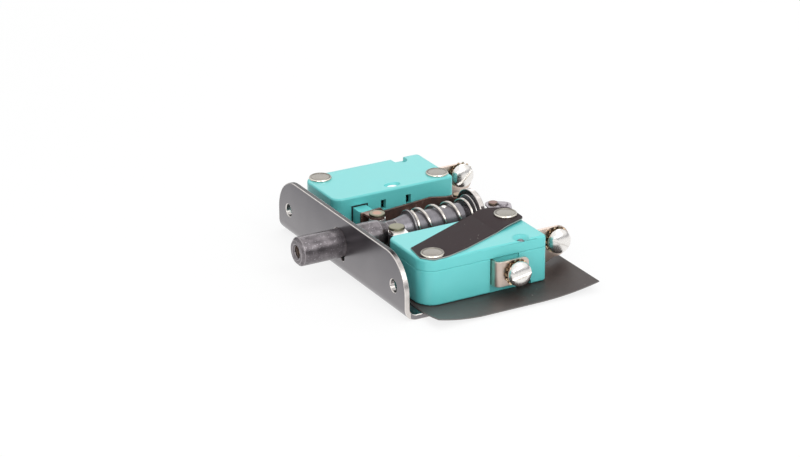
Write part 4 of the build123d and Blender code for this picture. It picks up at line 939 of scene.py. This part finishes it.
def sheet_mesh():
    """Thin curled sheet, with its holes for the rivets, hinge pins and tab."""
    columns = round(2 * SHEET_HALF / SHEET_STEP)
    rows = round((SHEET_REAR - SHEET_FRONT) / SHEET_STEP)
    points = []
    for row in range(rows + 1):
        y = SHEET_FRONT + (SHEET_REAR - SHEET_FRONT) * row / rows
        for column in range(columns + 1):
            x = -SHEET_HALF + 2 * SHEET_HALF * column / columns
            points.append((x * MM, y * MM, TABLE_HEIGHT + sheet_height(x, y) * MM))
    across = columns + 1
    corners = [row * across + column for row in range(rows) for column in range(columns)]
    faces = [(corner, corner + 1, corner + across + 1, corner + across) for corner in corners]
    mesh = bpy.data.meshes.new("sheet")
    mesh.from_pydata(points, [], faces)
    piece = linked("sheet", mesh)
    wall = piece.modifiers.new("thickness", "SOLIDIFY")
    wall.thickness = SHEET_THICKNESS * MM
    wall.offset = 1.0
    work = bmesh.new()
    half_slot, slot_front, slot_rear = TAB_SLOT
    sheet_level = TABLE_HEIGHT + SHEET_FLAT * MM
    bmesh.ops.create_cube(
        work, size=1.0,
        matrix=Matrix.Translation((0, (slot_front + slot_rear) / 2 * MM, sheet_level))
        @ Matrix.Diagonal((2 * half_slot * MM, (slot_rear - slot_front) * MM, PUNCH_LENGTH, 1)))
    for x, y, radius in SHEET_HOLES:
        for sign in (-1, 1):
            bmesh.ops.create_cone(
                work, cap_ends=True, segments=SHANK_STEPS, radius1=radius * MM, radius2=radius * MM,
                depth=PUNCH_LENGTH, matrix=Matrix.Translation((sign * x * MM, y * MM, sheet_level)))
    punch = linked("punch", mesh_of(work, "punch"))
    cut = piece.modifiers.new("punched", "BOOLEAN")
    cut.operation = "DIFFERENCE"
    cut.solver = "EXACT"
    cut.object = punch
    finished_mesh = plain_mesh_of(piece)
    bpy.data.objects.remove(piece)
    bpy.data.objects.remove(punch)
    finished_mesh.polygons.foreach_set("use_smooth", [True] * len(finished_mesh.polygons))
    finished_mesh.set_sharp_from_angle(angle=SMOOTH_ANGLE)
    return finished_mesh


def vulcanised(name, dark, pale, sheen_pale, edge_reflection_pale, sheen):
    """Vulcanised fibre with fine fibres along X and dust; painted sheen near free edges, painted reflection on cut
    edges.
    """
    fibre, tree, shader, place = start_material(name)
    spot = place.outputs["Object"]
    where = add(tree, "ShaderNodeSeparateXYZ", {0: spot})
    facing = add(tree, "ShaderNodeSeparateXYZ", {0: place.outputs["Normal"]})
    pulp = grain_of(tree, spot, 420.0, 5.0)
    laid = add(tree, "ShaderNodeMapping", {"Vector": spot, "Scale": (2600.0, 700.0, 2600.0)})
    fibres = grain_of(tree, laid.outputs[0], 1.0, 3.0)
    # Painted sheen: paler towards the outer front of the sheet, where |X| less 0.35 Y is large.
    outward = maths(
        tree, "MULTIPLY_ADD", where.outputs["Y"], FREE_EDGE_SKEW, maths(tree, "ABSOLUTE", where.outputs["X"]))
    rubbed = ranged(tree, outward, FREE_EDGE_FROM, FREE_EDGE_TO)
    dust = ranged(tree, grain_of(tree, spot, 1300.0, 1.0), 0.76, 0.82)
    # Painted reflection: paler on faces that stand upright, the cut edges.
    cut = ranged(tree, maths(tree, "ABSOLUTE", facing.outputs["Z"]), 0.3, 0.6, 1.0, 0.0)
    tone = tinted(tree, rubbed, tinted(tree, pulp, dark, pale), sheen_pale)
    tone = tinted(tree, cut, tinted(tree, dust, tone, "#8b8580"), edge_reflection_pale)
    surface(
        tree, shader, tone, 0.0, ranged(tree, pulp, 0.0, 1.0, 0.38, 0.5), bumped(tree, fibres, 0.25, 0.04 * MM))
    shader.inputs["IOR"].default_value = 1.5
    shader.inputs["Specular IOR Level"].default_value = sheen
    return fibre


curled_sheet = linked("insulating_sheet_curled", sheet_mesh())
curled_sheet.data.materials.append(
    vulcanised("vulcanised fibre sheet", "#2b2220", "#3d312e", "#6b6765", "#6b6765", 0.5))
keep_inside(curled_sheet.data, *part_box("insulating_sheet"))
settle(curled_sheet, "frame", "fish_paper", "insulating_sheet")
# The strap's greenish pale cut edges are a painted reflection of the housings.
dressed("insulating_strap", "frame", "fish_paper", FINE_BREAK, [
    vulcanised("vulcanised fibre strap", "#251a1c", "#342729", "#342729", "#9aa09c", 0.06)])

# Blades and contacts, closed inside the switches: rolled spring bronze, and silver contact rivets.
spring_bronze = two_tone("rolled spring bronze", 600.0, 2.0, "#b07a4c", "#cf9a68", 1.0, 0.3)
contact_silver = two_tone("fine silver contact", 1500.0, 2.0, "#c9c6c0", "#ecebe8", 1.0, 0.25)
for side in ("left", "right"):
    dressed(side + "_snap_blade", side + "_blade", "spring_bronze", THIN_BREAK, [spring_bronze], FINE_ANGLE)
    dressed(side + "_moving_contact", side + "_blade", "contact_silver", 0.0, [contact_silver], MOULDED_ANGLE)
    dressed(side + "_fixed_contact", "frame", "contact_silver", 0.0, [contact_silver], MOULDED_ANGLE)
